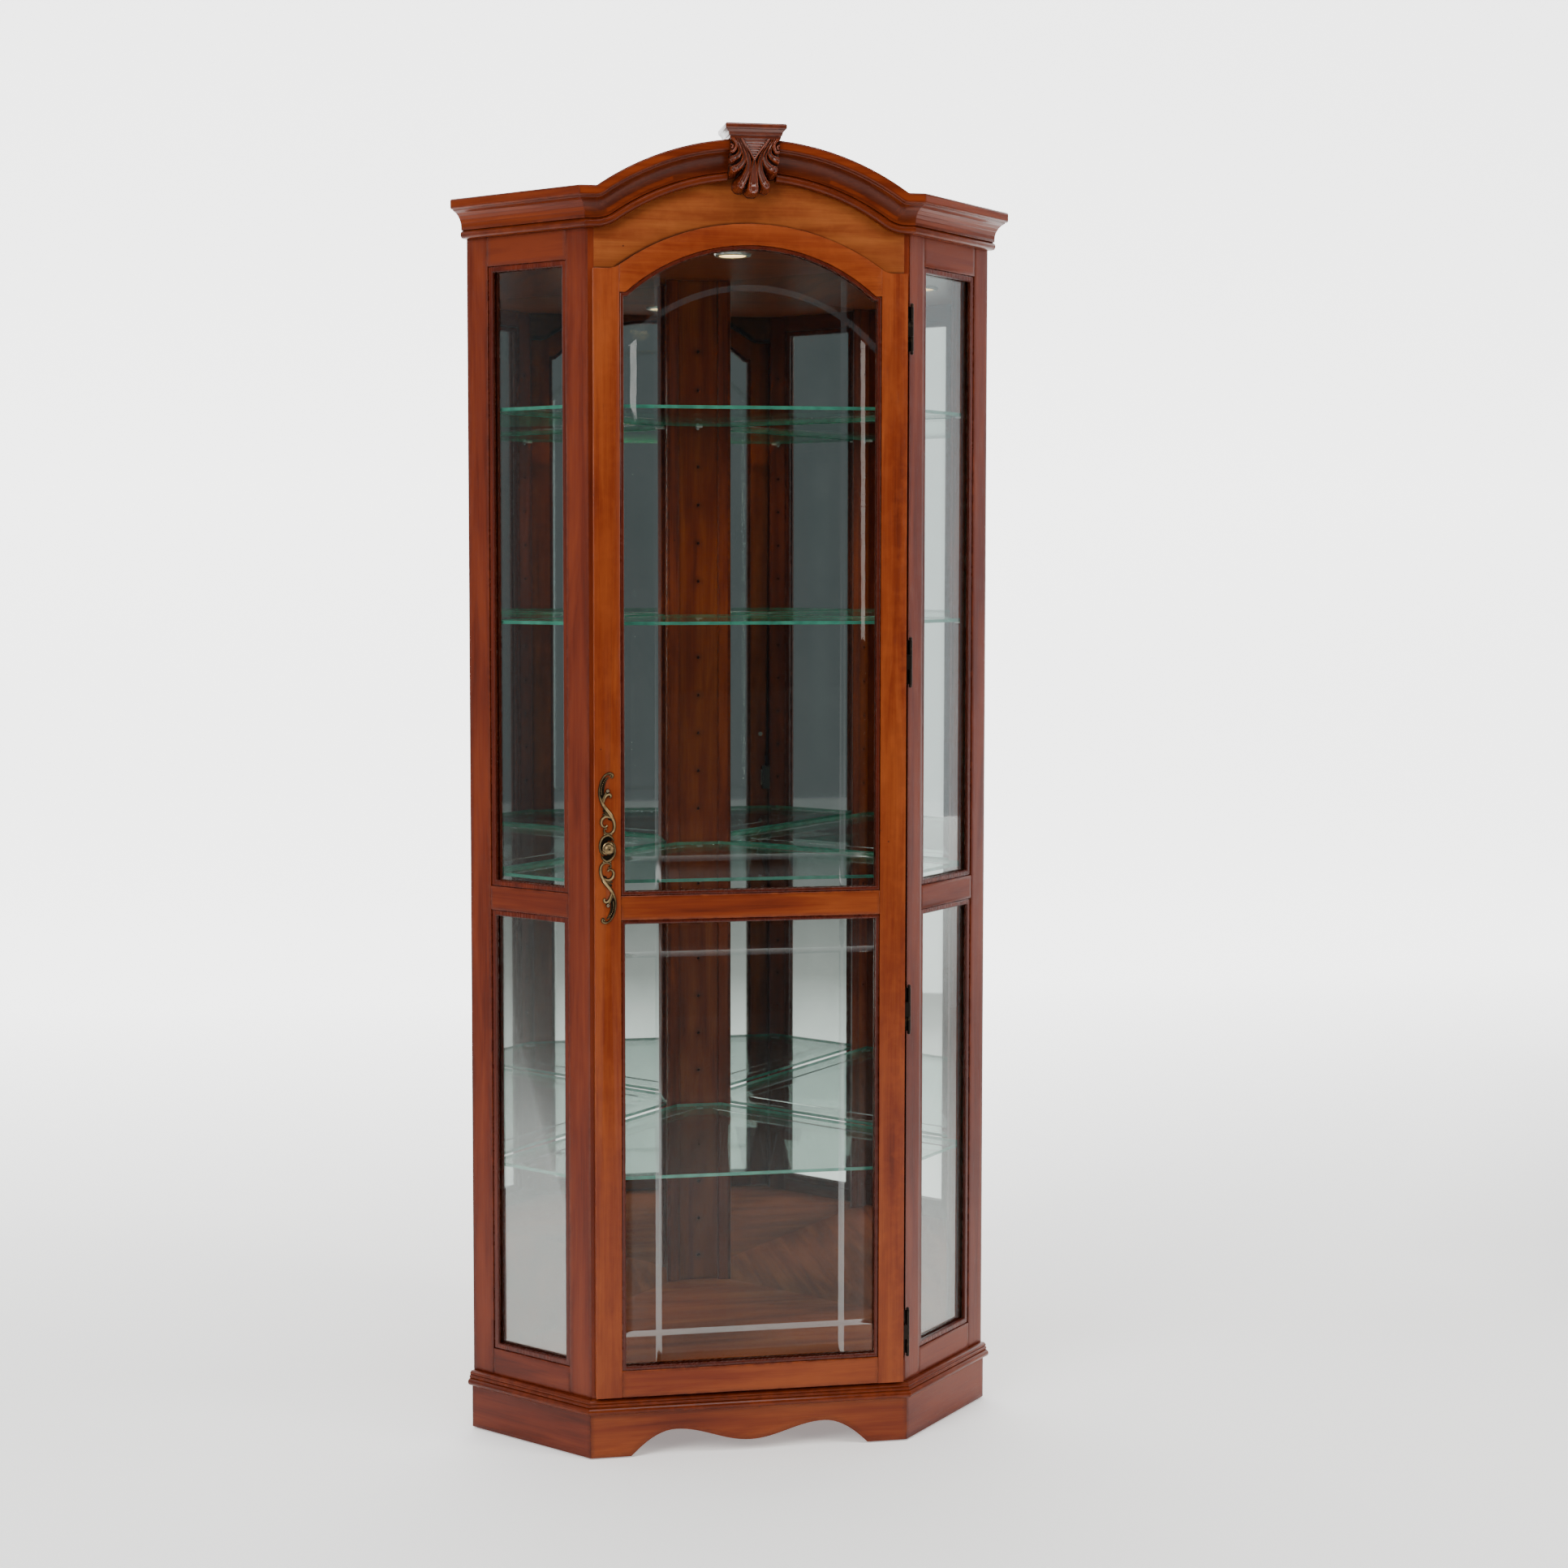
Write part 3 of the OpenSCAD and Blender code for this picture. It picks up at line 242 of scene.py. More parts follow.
def see_through(name, tint, reflect, rough=0.02, frost=0.0):
    """Thin clear glass: the share that Fresnel gives mirrors the room, the rest is clear."""
    m = Mat(name)
    smear = m.noise(m.place(), 6, 3, 0.6).above(0.5, 0.8)
    dust = m.noise(m.place(), 240, 2, 0.7).above(0.62, 0.8)
    m.set("Base Color", m.mix(dust, tint, tuple(c * 0.8 for c in tint)))
    m.set("Roughness", smear * 0.03 + dust * 0.10 + rough).set("Metallic", 1.0)
    clear = m.tree.nodes.new("ShaderNodeBsdfTransparent")
    clear.inputs[0].default_value = (*tint, 1)
    fresnel = m.node("ShaderNodeFresnel", {}, {"IOR": 1.5})
    blend = m.tree.nodes.new("ShaderNodeMixShader")
    m.link(fresnel * reflect + dust * 0.008 + frost, blend.inputs[0])
    m.tree.links.new(clear.outputs[0], blend.inputs[1])
    m.tree.links.new(m.shader.outputs[0], blend.inputs[2])
    m.tree.links.new(blend.outputs[0], m.exit.inputs[0])
    return m.data


def glass_edge(name, colour):
    m = Mat(name)
    depth = m.noise(m.place(), 60, 3, 0.5)
    m.set("Base Color", m.ramp(depth, [(0.3, colour), (0.7, tuple(c * 1.6 for c in colour))]))
    m.set("Roughness", 0.12 + depth * 0.2)
    m.set("Alpha", 0.85)
    m.set("Coat Weight", 0.5)
    return m.data


def silvered():
    m = Mat("mirror_silver")
    haze = m.noise(m.place(), 9, 3, 0.6)
    m.set("Base Color", m.ramp(haze, [(0.3, (0.80, 0.83, 0.82)), (0.7, (0.86, 0.88, 0.87))]))
    m.set("Metallic", 1.0).set("Roughness", haze * 0.03 + 0.005)
    return m.data


def brass():
    """Antique brass: nearly black in the hollows, rubbed bright on the high points."""
    m = Mat("antique_brass")
    cavity = m.attr("cavity")
    arris = m.attr("arris")
    stain = m.noise(m.place(), 220, 4, 0.6)
    high = (arris * 0.9 + stain * 0.6 - cavity * 0.9).above(0.28, 1.20)
    base = m.ramp(high, [(0.0, (0.012, 0.009, 0.006)), (0.40, (0.085, 0.058, 0.028)),
                         (1.0, (0.36, 0.255, 0.125))])
    m.set("Base Color", base).set("Metallic", 0.95)
    m.set("Roughness", 0.46 - high * 0.18 + stain * 0.1)
    m.bump(stain, 0.25, 0.0003)
    return m.data


def bronze():
    m = Mat("dark_bronze")
    stain = m.noise(m.place(), 300, 4, 0.6)
    worn = m.noise(m.place(), 90, 3, 0.6).above(0.56, 0.72)
    base = m.mix(worn * 0.5, (0.018, 0.013, 0.010), (0.13, 0.085, 0.05))
    m.set("Base Color", base).set("Metallic", 0.9).set("Roughness", 0.34 + stain * 0.2)
    m.bump(stain, 0.2, 0.0002)
    return m.data


def plated(name, colour, rough):
    m = Mat(name)
    lines = m.noise(m.node("ShaderNodeMapping", {}, {"Vector": m.place(), "Scale": (30, 30, 900)}),
                    1.0, 3, 0.6)
    m.set("Base Color", m.mix(lines, colour, tuple(c * 0.75 for c in colour)))
    m.set("Metallic", 1.0).set("Roughness", rough + lines * 0.14)
    return m.data


def plastic(name, colour, rough, alpha=1.0):
    m = Mat(name)
    grain = m.noise(m.place(), 900, 2, 0.5)
    m.set("Base Color", m.mix(grain * 0.3, colour, tuple(c * 0.7 for c in colour)))
    m.set("Roughness", rough + grain * 0.1).set("Alpha", alpha)
    m.bump(grain, 0.1, 0.0002)
    return m.data


def glowing(name, colour, strength):
    m = Mat(name)
    ripple = m.noise(m.place(), 300, 2, 0.5)
    m.set("Base Color", m.mix(ripple, colour, tuple(c * 0.9 for c in colour)))
    m.set("Emission Color", (*colour, 1)).set("Emission Strength", strength)
    m.set("Roughness", 0.4 + ripple * 0.1)
    return m.data


CHERRY = cherry("cherry_face", (0.205, 0.042, 0.008), (0.134, 0.020, 0.004),
                (0.068, 0.008, 0.002))
FRIEZE = cherry("cherry_frieze", (0.24, 0.068, 0.016), (0.162, 0.035, 0.009),
                (0.088, 0.014, 0.004), lines=door_shadow)
SIDE_CHERRY = cherry("cherry_side", (0.150, 0.024, 0.006), (0.095, 0.012, 0.003),
                     (0.048, 0.006, 0.002), coat=0.08, gloss=0.16)
DECK = cherry("cherry_deck", (0.30, 0.066, 0.014), (0.21, 0.036, 0.008),
              (0.12, 0.017, 0.005), shine=0.5, coat=0.0, gloss=0.12)
MOULDING = cherry("cherry_moulding", (0.18, 0.030, 0.006), (0.105, 0.014, 0.003),
                  (0.050, 0.007, 0.002), recess_shade=0.9, shine=0.24, coat=0.10, gloss=0.13)
BEADING = cherry("cherry_bead", (0.11, 0.015, 0.004), (0.062, 0.008, 0.003),
                 (0.030, 0.004, 0.002), recess_shade=0.5, shine=0.22, coat=0.2, edge_wear_and_highlight=0.12)
CARVED = cherry("cherry_carved", (0.15, 0.027, 0.007), (0.082, 0.012, 0.004),
                (0.034, 0.005, 0.003), recess_shade=0.97, shine=0.17, coat=0.4, gloss=0.36)
BOARD = raw_board()
PANE = see_through("pane_glass", (0.95, 0.975, 0.965), 0.36)
GROOVE = see_through("cut_groove", (0.86, 0.90, 0.89), 1.6, 0.22, 0.10)
SHELF_TOP = see_through("shelf_glass", (0.90, 0.965, 0.94), 0.55)
SHELF_EDGE = glass_edge("shelf_edge", (0.03, 0.17, 0.12))
SILVER = silvered()
BRASS = brass()
BRONZE = bronze()
STEEL = plated("plated_steel", (0.62, 0.62, 0.60), 0.28)
LAMP_METAL = plated("lamp_metal", (0.75, 0.73, 0.70), 0.22)
CLEAR_PLASTIC = plastic("clear_plastic", (0.86, 0.90, 0.90), 0.18, 0.45)
DARK_PLASTIC = plastic("dark_plastic", (0.02, 0.02, 0.02), 0.45)
LENS = glowing("lamp_glass", (1.0, 0.66, 0.28), 5.0)
BULB = glowing("lamp_bulb", (1.0, 0.90, 0.72), 6.0)


# ---------------------------------------------------------------- woodwork
def unit(x, y, z=0.0):
    return Vector((x, y, z)).normalized()


UP = Vector((0, 0, 1))
ACROSS = Vector((1, 0, 0))
RIGHT_RUN = unit(1, 1)
LEFT_RUN = unit(1, -1)


def new_piece(name, bm, *mats):
    mesh = bpy.data.meshes.new(name)
    bm.to_mesh(mesh)
    bm.free()
    for mat in mats:
        mesh.materials.append(mat)
    piece = bpy.data.objects.new(name, mesh)
    bpy.context.scene.collection.objects.link(piece)
    for face in mesh.polygons:
        face.use_smooth = True
    mesh.set_sharp_from_angle(angle=math.radians(32))
    return piece


def merged(node, whole=True):
    """A joined-up copy of a CAD node's mesh, with its flat faces made whole or left as cut."""
    bm = bmesh.new()
    bm.from_mesh(frame["nodes"][node].data)
    bmesh.ops.remove_doubles(bm, verts=bm.verts, dist=2e-6)
    if whole:
        bmesh.ops.dissolve_limit(bm, angle_limit=math.radians(0.6), verts=bm.verts,
                                 edges=bm.edges)
    return bm


def ease_edges(bm, width, least=20):
    """Rounds the sharp edges a little, as sanding and wear do."""
    sharp = [e for e in bm.edges if len(e.link_faces) == 2
             and e.calc_face_angle(0) > math.radians(least)]
    bmesh.ops.bevel(bm, geom=sharp, offset=width, segments=2, profile=0.6,
                    affect="EDGES", clamp_overlap=True)


def flat_regions(bm, least_area):
    """Groups of touching faces that lie in one plane."""
    left = set(bm.faces)
    for seed in list(bm.faces):
        if seed not in left:
            continue
        left.discard(seed)
        group, stack = [seed], [seed]
        while stack:
            for edge in stack.pop().edges:
                for face in edge.link_faces:
                    if face in left and face.normal.dot(seed.normal) > 0.9999:
                        left.discard(face)
                        group.append(face)
                        stack.append(face)
        if sum(f.calc_area() for f in group) > least_area:
            yield group


def shade_rims(bm, width):
    """Adds a border inside each broad face, with rim 0 at its edge and 1 inside it."""
    rim = bm.verts.layers.float.new("rim")
    inner = set() if width else set(bm.verts)
    for group in list(flat_regions(bm, 6e-4)) if width else ():
        perimeter = sum(e.calc_length() for f in group for e in f.edges
                        if any(g not in group for g in e.link_faces))
        area = sum(f.calc_area() for f in group)
        step = min(width, 0.45 * area / max(perimeter, 1e-6))
        if step < 0.0012:
            continue
        bmesh.ops.inset_region(bm, faces=group, thickness=step, use_even_offset=False)
        inner.update(v for f in group for v in f.verts)
    for vert in bm.verts:
        vert[rim] = 1.0 if vert in inner else 0.0


def shade_curves(bm, hollow=2.2, ridge=1.6):
    """Stores how hollow and how proud each point is, from the bend at its edges."""
    cavity = bm.verts.layers.float.new("cavity")
    arris = bm.verts.layers.float.new("arris")
    bm.normal_update()
    for vert in bm.verts:
        bend = sum(e.calc_face_angle_signed(0) for e in vert.link_edges
                   if len(e.link_faces) == 2) / max(len(vert.link_edges), 1)
        vert[cavity] = min(1.0, max(0.0, -bend * hollow))
        vert[arris] = min(1.0, max(0.0, bend * ridge))


def lay_grain(uv, faces, run, seed):
    """Maps the grain in metres: up the second axis along the board, and across it."""
    for face in faces:
        along = run - face.normal * run.dot(face.normal)
        if along.length < 0.3:
            along = face.normal.orthogonal()
        along.normalize()
        side = face.normal.cross(along)
        for loop in face.loops:
            co = loop.vert.co
            loop[uv].uv = (side.dot(co) + seed * 0.731, along.dot(co) + seed * 1.37)


SEEDS = iter(range(1, 200))


def middle_of(solid):
    """The middle of a solid's box, to a tenth of a millimetre, which also puts solids in order."""
    points = [v.co for f in solid for v in f.verts]
    return tuple(round((min(c) + max(c)) / 2, 4) for c in zip(*points))


def split_solids(bm):
    """Each loose solid of a mesh, as its list of faces."""
    left = set(bm.faces)
    for first in bm.faces:
        if first not in left:
            continue
        left.discard(first)
        solid, stack = [first], [first]
        while stack:
            for edge in stack.pop().edges:
                for face in edge.link_faces:
                    if face in left:
                        left.discard(face)
                        solid.append(face)
                        stack.append(face)
        yield solid


def dress(node, run, mat, ease=0.9, rim=9.0, body="cabinet", shade_set_back=False):
    """Rebuilds a wooden CAD node with eased edges, face rims that the finish darkens as toning and painted
    shade, and its own grain.
    """
    bm = merged(node, whole=rim > 0)
    ease_edges(bm, ease * MM)
    shade_rims(bm, rim * MM)
    shade_curves(bm)
    # Painted shade on the frieze: faces set back from its front get full cavity and are painted dark.
    if shade_set_back:
        cavity = bm.verts.layers.float["cavity"]
        front = min(v.co.y for v in bm.verts)
        for vert in bm.verts:
            vert[cavity] = min(1.0, (vert.co.y - front) / (0.6 * MM))
    grain = run if callable(run) else (lambda centre: run)
    uv = bm.loops.layers.uv.new("grain")
    for solid in sorted(split_solids(bm), key=middle_of):
        lay_grain(uv, solid, grain(Vector(middle_of(solid))), next(SEEDS))
    piece = new_piece("wood_" + node, bm, mat)
    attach(piece, body)
    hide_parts(node)
    slot_of(node)
    return piece


def slot_of(node):
    rows = frame["record"]["subparts"]
    return next(row["material_slot"] for row in rows if row["node"] == node)


def by_side(right, left):
    """The grain of a part that stands on both sides: it follows the side it is on."""
    return lambda centre: right if centre.x > 0 else left


SIDE_RUN = by_side(RIGHT_RUN, LEFT_RUN)
BACK_RUN = by_side(LEFT_RUN, RIGHT_RUN)


def build_woodwork():
    for node, run, mat in (
            ("plinth_front", ACROSS, CHERRY), ("plinth_sides", SIDE_RUN, SIDE_CHERRY),
            ("corner_blocks", ACROSS, BOARD),
            ("back_boards", UP, BOARD), ("bottom_deck", ACROSS, DECK),
            ("left_front_post", UP, SIDE_CHERRY), ("right_front_post", UP, SIDE_CHERRY),
            ("left_back_stile", UP, SIDE_CHERRY), ("right_back_stile", UP, SIDE_CHERRY),
            ("left_side_rails", LEFT_RUN, SIDE_CHERRY),
            ("right_side_rails", RIGHT_RUN, SIDE_CHERRY),
            ("back_corner_posts", UP, CHERRY), ("centre_back_post", UP, CHERRY),
            ("top_panel", ACROSS, CHERRY)):
        dress(node, run, mat)
    dress("plinth_backs", BACK_RUN, BOARD, rim=0)
    dress("frieze_board", ACROSS, FRIEZE, ease=1.8, rim=0, shade_set_back=True)
    for node, run, mat in (
            ("base_moulding_front", ACROSS, MOULDING), ("base_moulding_sides", SIDE_RUN, MOULDING),
            ("cornice_front_left", ACROSS, MOULDING), ("cornice_front_right", ACROSS, MOULDING),
            ("cornice_sides", SIDE_RUN, MOULDING), ("mirror_strips", UP, MOULDING),
            ("keystone_cap", ACROSS, CARVED)):
        dress(node, run, mat, ease=0.5, rim=2.5)
    for node, run in (("left_glazing_beads", UP), ("right_glazing_beads", UP)):
        dress(node, run, BEADING, ease=1.6, rim=2.0)
    for node, run, rim in (("door_left_stile", UP, 0), ("door_right_stile", UP, 0),
                           ("door_mid_rail", ACROSS, 7.0), ("door_bottom_rail", ACROSS, 7.0),
                           ("door_top_rail", ACROSS, 0)):
        dress(node, run, CHERRY, ease=1.3, rim=rim, body="door")
    dress("door_glazing_beads", UP, BEADING, ease=2.2, rim=2.0, body="door")
    dress("door_glass_retainers", UP, BEADING, ease=1.0, rim=2.0, body="door")


# ---------------------------------------------------------------- carving
def smooth_path(points, steps=14):
    """A Catmull-Rom curve through points of any size, as an array."""
    pts = np.array(points, float)
    pts = np.vstack([2 * pts[0] - pts[1], pts, 2 * pts[-1] - pts[-2]])
    t = np.linspace(0, 1, steps, endpoint=False)[:, None]
    rows = []
    for a, b, c, d in zip(pts, pts[1:], pts[2:], pts[3:]):
        rows.append(0.5 * (2 * b + (c - a) * t + (2 * a - 5 * b + 4 * c - d) * t ** 2
                           + (3 * b - a - 3 * c + d) * t ** 3))
    return np.vstack([*rows, pts[-2:-1]])


def along_path(x, z, path):
    """For each point: its distance from the path, the half width there and the share done."""
    best = np.full(x.shape, 1e9)
    width = np.ones(x.shape)
    share = np.zeros(x.shape)
    count = len(path) - 1
    for i, (a, b) in enumerate(zip(path, path[1:])):
        run = b[:2] - a[:2]
        t = np.clip(((x - a[0]) * run[0] + (z - a[1]) * run[1]) / max(run @ run, 1e-9), 0, 1)
        away = np.hypot(x - a[0] - t * run[0], z - a[1] - t * run[1])
        near = away < best
        best = np.where(near, away, best)
        width = np.where(near, a[2] + t * (b[2] - a[2]), width)
        share = np.where(near, (i + t) / count, share)
    return best, width, share


# Leaves of the shell on its left side: x, z below the cap, half width, in millimetres.
LEAVES = (
    ((-24, 1, 1.7), (-15.4, -13.5, 2.2), (-9, -28, 3), (-8.8, -43, 4), (-14.6, -57, 5),
     (-18.8, -65, 5.2)),
    ((-27.5, 1, 1.6), (-20.5, -11.5, 2.2), (-15, -22, 2.9), (-16.5, -32, 3.6), (-23, -39, 4.4),
     (-30.2, -43, 4.6)),
    ((-30, 1, 1.5), (-24.6, -8.5, 2), (-21.5, -17, 2.6), (-24.5, -24, 3.3), (-34.2, -30, 3.9)))
MIDDLE_LEAF = ((0, -27, 1.0), (0, -40, 4.2), (0, -55, 6.4), (0, -69, 7.9))
SCROLL = ((-35, 1, 2), (-28.6, -6, 2), (-28.4, -13, 2), (-32, -18.4, 1.9), (-37, -17, 1.7),
          (-38, -11.6, 1.5), (-34.6, -9, 1.3), (-32.6, -11.8, 1.5), (-34, -13.6, 1.7))
PANEL_EDGE = ((-21.5, 1, 1.2), (-11.5, -12, 1.2), (-4.5, -22, 1.1), (0, -29, 1.0))


def shell_height(x, z):
    """How far the carving stands out of the body, in millimetres."""
    slope = 17 + (z + 80) * 0.30
    x = -np.abs(x)
    fall = 5.0

    def leaf(path):
        away, half, share = along_path(x, z, smooth_path(path))
        u = away / half
        lip = 1.5 * np.exp(-((u - 0.80) / 0.17) ** 2)
        hollow = -2.4 * np.clip(1 - u ** 2, 0, 1)
        curl = 3.4 * np.clip((share - 0.80) / 0.13, 0, 1) ** 2
        edge = np.clip(u - 0.92, 0, None) * half * fall
        return 2.4 + lip + hollow + curl - edge

    def cord(path, rise):
        away, half, _ = along_path(x, z, smooth_path(path))
        u = away / half
        return rise + half * np.sqrt(np.clip(1 - u ** 2, 0, 1)) - np.clip(u - 1, 0, None) * half * fall

    block = np.minimum(np.minimum(40.8 - np.abs(x), z + 45 - np.abs(x) * 0.12), 4.0) * fall - 25.0
    half_panel = 20.5 * (1 + z / 28.5)
    ribs = -1.9 + 1.25 * np.abs(np.cos(z * math.pi / 3.4))
    panel = np.where(np.abs(x) < half_panel, ribs, -40)
    rise = np.maximum.reduce([block, panel, cord(PANEL_EDGE, 1.6), cord(SCROLL, 1.7),
                              leaf(MIDDLE_LEAF), *(leaf(path) for path in LEAVES)])
    return np.clip(slope + rise, -1.5, 43.5)


def soften(field, passes):
    for _ in range(passes):
        wide = np.pad(field, 1, mode="edge")
        field = (wide[:-2, 1:-1] + wide[2:, 1:-1] + wide[1:-1, :-2] + wide[1:-1, 2:]
                 + 2 * field) / 6
    return field


def build_shell():
    """The carved shell: a height field with its own sides and back."""
    low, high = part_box("shell_carving")
    top = high.z
    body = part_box("frieze_board")[0].y
    cols, rows = 190, 184
    xs = np.linspace(low.x, high.x, cols)
    zs = np.linspace(low.z, top, rows)
    x, z = np.meshgrid(xs, zs)
    rise = soften(shell_height(x * 1000, (z - top) * 1000), 2)
    bend = rise - soften(rise, 10)
    front = np.stack([x, body - rise * MM, z], -1).reshape(-1, 3)
    ring = ([(0, c) for c in range(cols)] + [(r, cols - 1) for r in range(1, rows)]
            + [(rows - 1, c) for c in range(cols - 2, -1, -1)]
            + [(r, 0) for r in range(rows - 2, 0, -1)])
    rim = [r * cols + c for r, c in ring]
    back = front[rim].copy()
    back[:, 1] = body + 2.5 * MM
    base = len(front)
    faces = [(r * cols + c, r * cols + c + 1, (r + 1) * cols + c + 1, (r + 1) * cols + c)
             for r in range(rows - 1) for c in range(cols - 1)]
    n = len(rim)
    faces += [(rim[(i + 1) % n], rim[i], base + i, base + (i + 1) % n) for i in range(n)]
    faces.append(tuple(base + i for i in range(n - 1, -1, -1)))
    mesh = bpy.data.meshes.new("carved_shell")
    mesh.from_pydata(np.vstack([front, back]).tolist(), [], faces)
    bm = bmesh.new()
    bm.from_mesh(mesh)
    bpy.data.meshes.remove(mesh)
    bm.verts.ensure_lookup_table()
    cavity = bm.verts.layers.float.new("cavity")
    arris = bm.verts.layers.float.new("arris")
    rim_layer = bm.verts.layers.float.new("rim")
    # Painted shade and highlight: the carving's hollows and its back are stored as cavity and painted dark; its
    # ridges as arris, lightened as wear and a painted highlight.
    flat = bend.reshape(-1)
    for i, vert in enumerate(bm.verts):
        value = flat[i] if i < base else -1.0
        vert[cavity] = float(np.clip(-value * 1.5, 0, 1))
        vert[arris] = float(np.clip(value * 1.4, 0, 1))
        vert[rim_layer] = 1.0
    bmesh.ops.recalc_face_normals(bm, faces=bm.faces)
    lay_grain(bm.loops.layers.uv.new("grain"), bm.faces, UP, next(SEEDS))
    piece = new_piece("carved_shell", bm, CARVED)
    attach(piece, "cabinet")
    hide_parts("shell_carving")


# ---------------------------------------------------------------- pull
# The rococo plate, drawn in millimetres from its middle: x, z, half width and height.
STEM = ((5.0, 103.6, 0.9, 1.6), (7.2, 104.6, 1.5, 2.3), (7.8, 107.8, 1.7, 2.6),
        (4.7, 110, 1.6, 2.4), (0.5, 109.6, 1.4, 2.2), (-4, 106.4, 1.3, 2.1),
        (-8.4, 99.5, 1.2, 2.0), (-11.0, 91, 1.2, 2.0), (-12.0, 82.7, 1.3, 2.0),
        (-10.9, 74.3, 1.4, 2.2), (-7.6, 65.9, 1.6, 2.6), (-2.0, 57.5, 1.9, 2.9),
        (4.2, 49, 2.1, 3.1), (9, 40.7, 2.1, 3.1), (10.4, 32.3, 2.0, 3.0), (8.9, 25.6, 1.8, 2.8),
        (4.4, 21.6, 1.6, 2.5), (-0.7, 21.4, 1.4, 2.3), (-4.6, 24.4, 1.2, 2.1),
        (-4.2, 28.4, 1.1, 2.0), (-1.2, 28.9, 1.4, 2.6))
CURL = ((7.0, 42.4, 1.0, 2.0), (2.2, 46, 1.6, 2.6), (-3.3, 46.4, 1.9, 2.9),
        (-7.7, 42.7, 2.0, 3.0), (-9.0, 37, 1.8, 2.8), (-6.7, 32.4, 1.5, 2.5),
        (-2.7, 31.5, 1.3, 2.4), (-0.2, 33.8, 1.6, 2.8))
FRONDS = (
    ((-6.6, 64, 1.2, 2.4), (-4.8, 71, 1.5, 2.6), (-2, 76.8, 1.8, 2.8), (1.8, 79.5, 1.9, 3.0),
     (5.1, 77.8, 1.6, 2.8), (4.6, 75, 1.2, 2.4), (2.6, 75.4, 0.8, 2.2)),
    ((-7.6, 70.5, 1.4, 2.0), (-4, 77.5, 1.6, 2.3), (-1.2, 82.6, 1.2, 2.0), (0.6, 85, 0.5, 1.2)),
    ((-9.5, 74.5, 0.9, 1.8), (-7, 67.5, 1.0, 2.2), (-1.2, 59, 1.1, 2.6), (5.4, 50.7, 1.1, 2.8),
     (8.9, 44, 0.8, 2.2)),
    ((-10, 69.4, 0.8, 1.6), (-7, 62.6, 1.2, 2.0), (-2, 55.8, 1.4, 2.3), (3, 49, 1.2, 2.2)),
    ((-6.6, 56, 0.6, 1.2), (-3, 52.4, 1.6, 2.0), (2.2, 48.2, 1.3, 2.0)),
    ((-7.4, 50.6, 0.7, 1.3), (-3, 48.8, 1.7, 2.1), (3, 45.8, 1.3, 2.0)),
    ((1.4, 104.4, 0.5, 1.4), (-2.2, 98.6, 0.7, 1.5), (-4.2, 93, 0.8, 1.5),
     (-5.2, 87.7, 0.8, 1.5), (-5.4, 82.7, 0.7, 1.4)))
RING = ((9.3, 10.2, 0.9, 1.8), (6.2, 15.8, 1.4, 2.4), (0.6, 18.9, 1.7, 2.6),
        (-6.2, 15.6, 1.7, 2.6), (-10.4, 8, 1.6, 2.5), (-10.8, -1, 1.5, 2.4),
        (-8.2, -7.2, 1.3, 2.2), (-3.8, -9.6, 0.9, 1.8))
SWIRL = ((8.4, 3.6, 0.9, 2.6), (4.2, 7.4, 1.3, 3.0), (-1.6, 7.2, 1.5, 3.2),
         (-5.6, 3.2, 1.4, 3.2), (-6.2, -2.4, 1.2, 2.8), (-3.4, -6.6, 0.8, 2.2))
WEBS = (
    ((-1.5, 102.5, 1.6, 0.8), (-6.4, 95.5, 3.0, 0.8), (-8.6, 87.5, 3.4, 0.8),
     (-8.5, 80, 3.2, 0.8), (-6.5, 73, 2.6, 0.8)),
    ((-5.5, 62, 2.0, 0.9), (0.5, 54, 3.0, 0.9), (5.5, 46.5, 3.2, 0.9), (3.5, 41, 2.6, 0.8)),
    ((6.2, 12.5, 1.6, 0.8), (-1, 13.5, 3.2, 0.8), (-7.6, 6.5, 3.0, 0.8), (-8.4, -1.5, 2.2, 0.8)))
STUDS = ((-4.2, 20.5, 1.4), (5.8, 20.4, 1.4), (4.9, 106.6, 1.9))
PULL_SCREW = 84.5
BEAD_ROW = ((-0.6, 103.9), (-3.9, 99.4), (-6.9, 94.2), (-8.3, 89), (-8.9, 84), (-8.4, 79.6))


def add_strand(bm, path, mid):
    """A half-round strand along a path, lying on the face of the door stile."""
    line = smooth_path(path, 9)
    steps = np.gradient(line[:, :2], axis=0)
    steps /= np.maximum(np.linalg.norm(steps, axis=1), 1e-9)[:, None]
    count = 12
    loops = []
    proud = bm.verts.layers.float["arris"]
    hollow = bm.verts.layers.float["cavity"]
    for (x, z, half, rise), (dx, dz) in zip(line, steps):
        loop = []
        for k in range(count):
            turn = 2 * math.pi * k / count
            out = math.sin(turn)
            side = math.cos(turn) * half * 1.22
            depth = out * rise if out > 0 else 0.25 * out
            vert = bm.verts.new((mid.x + (x - dz * side) * MM, mid.y - depth * MM,
                                 mid.z + (z + dx * side) * MM))
            vert[proud] = max(0.0, depth - 1.3) / 1.8
            vert[hollow] = 1.0 - min(1.0, max(0.0, depth) / 1.3)
            loop.append(vert)
        loops.append(loop)
    for a, b in zip(loops, loops[1:]):
        for k in range(count):
            bm.faces.new((a[k], a[(k + 1) % count], b[(k + 1) % count], b[k]))
    bm.faces.new(loops[0][::-1])
    bm.faces.new(loops[-1])


def half_turn(path):
    return tuple((-p[0], -p[1], *p[2:]) for p in path)


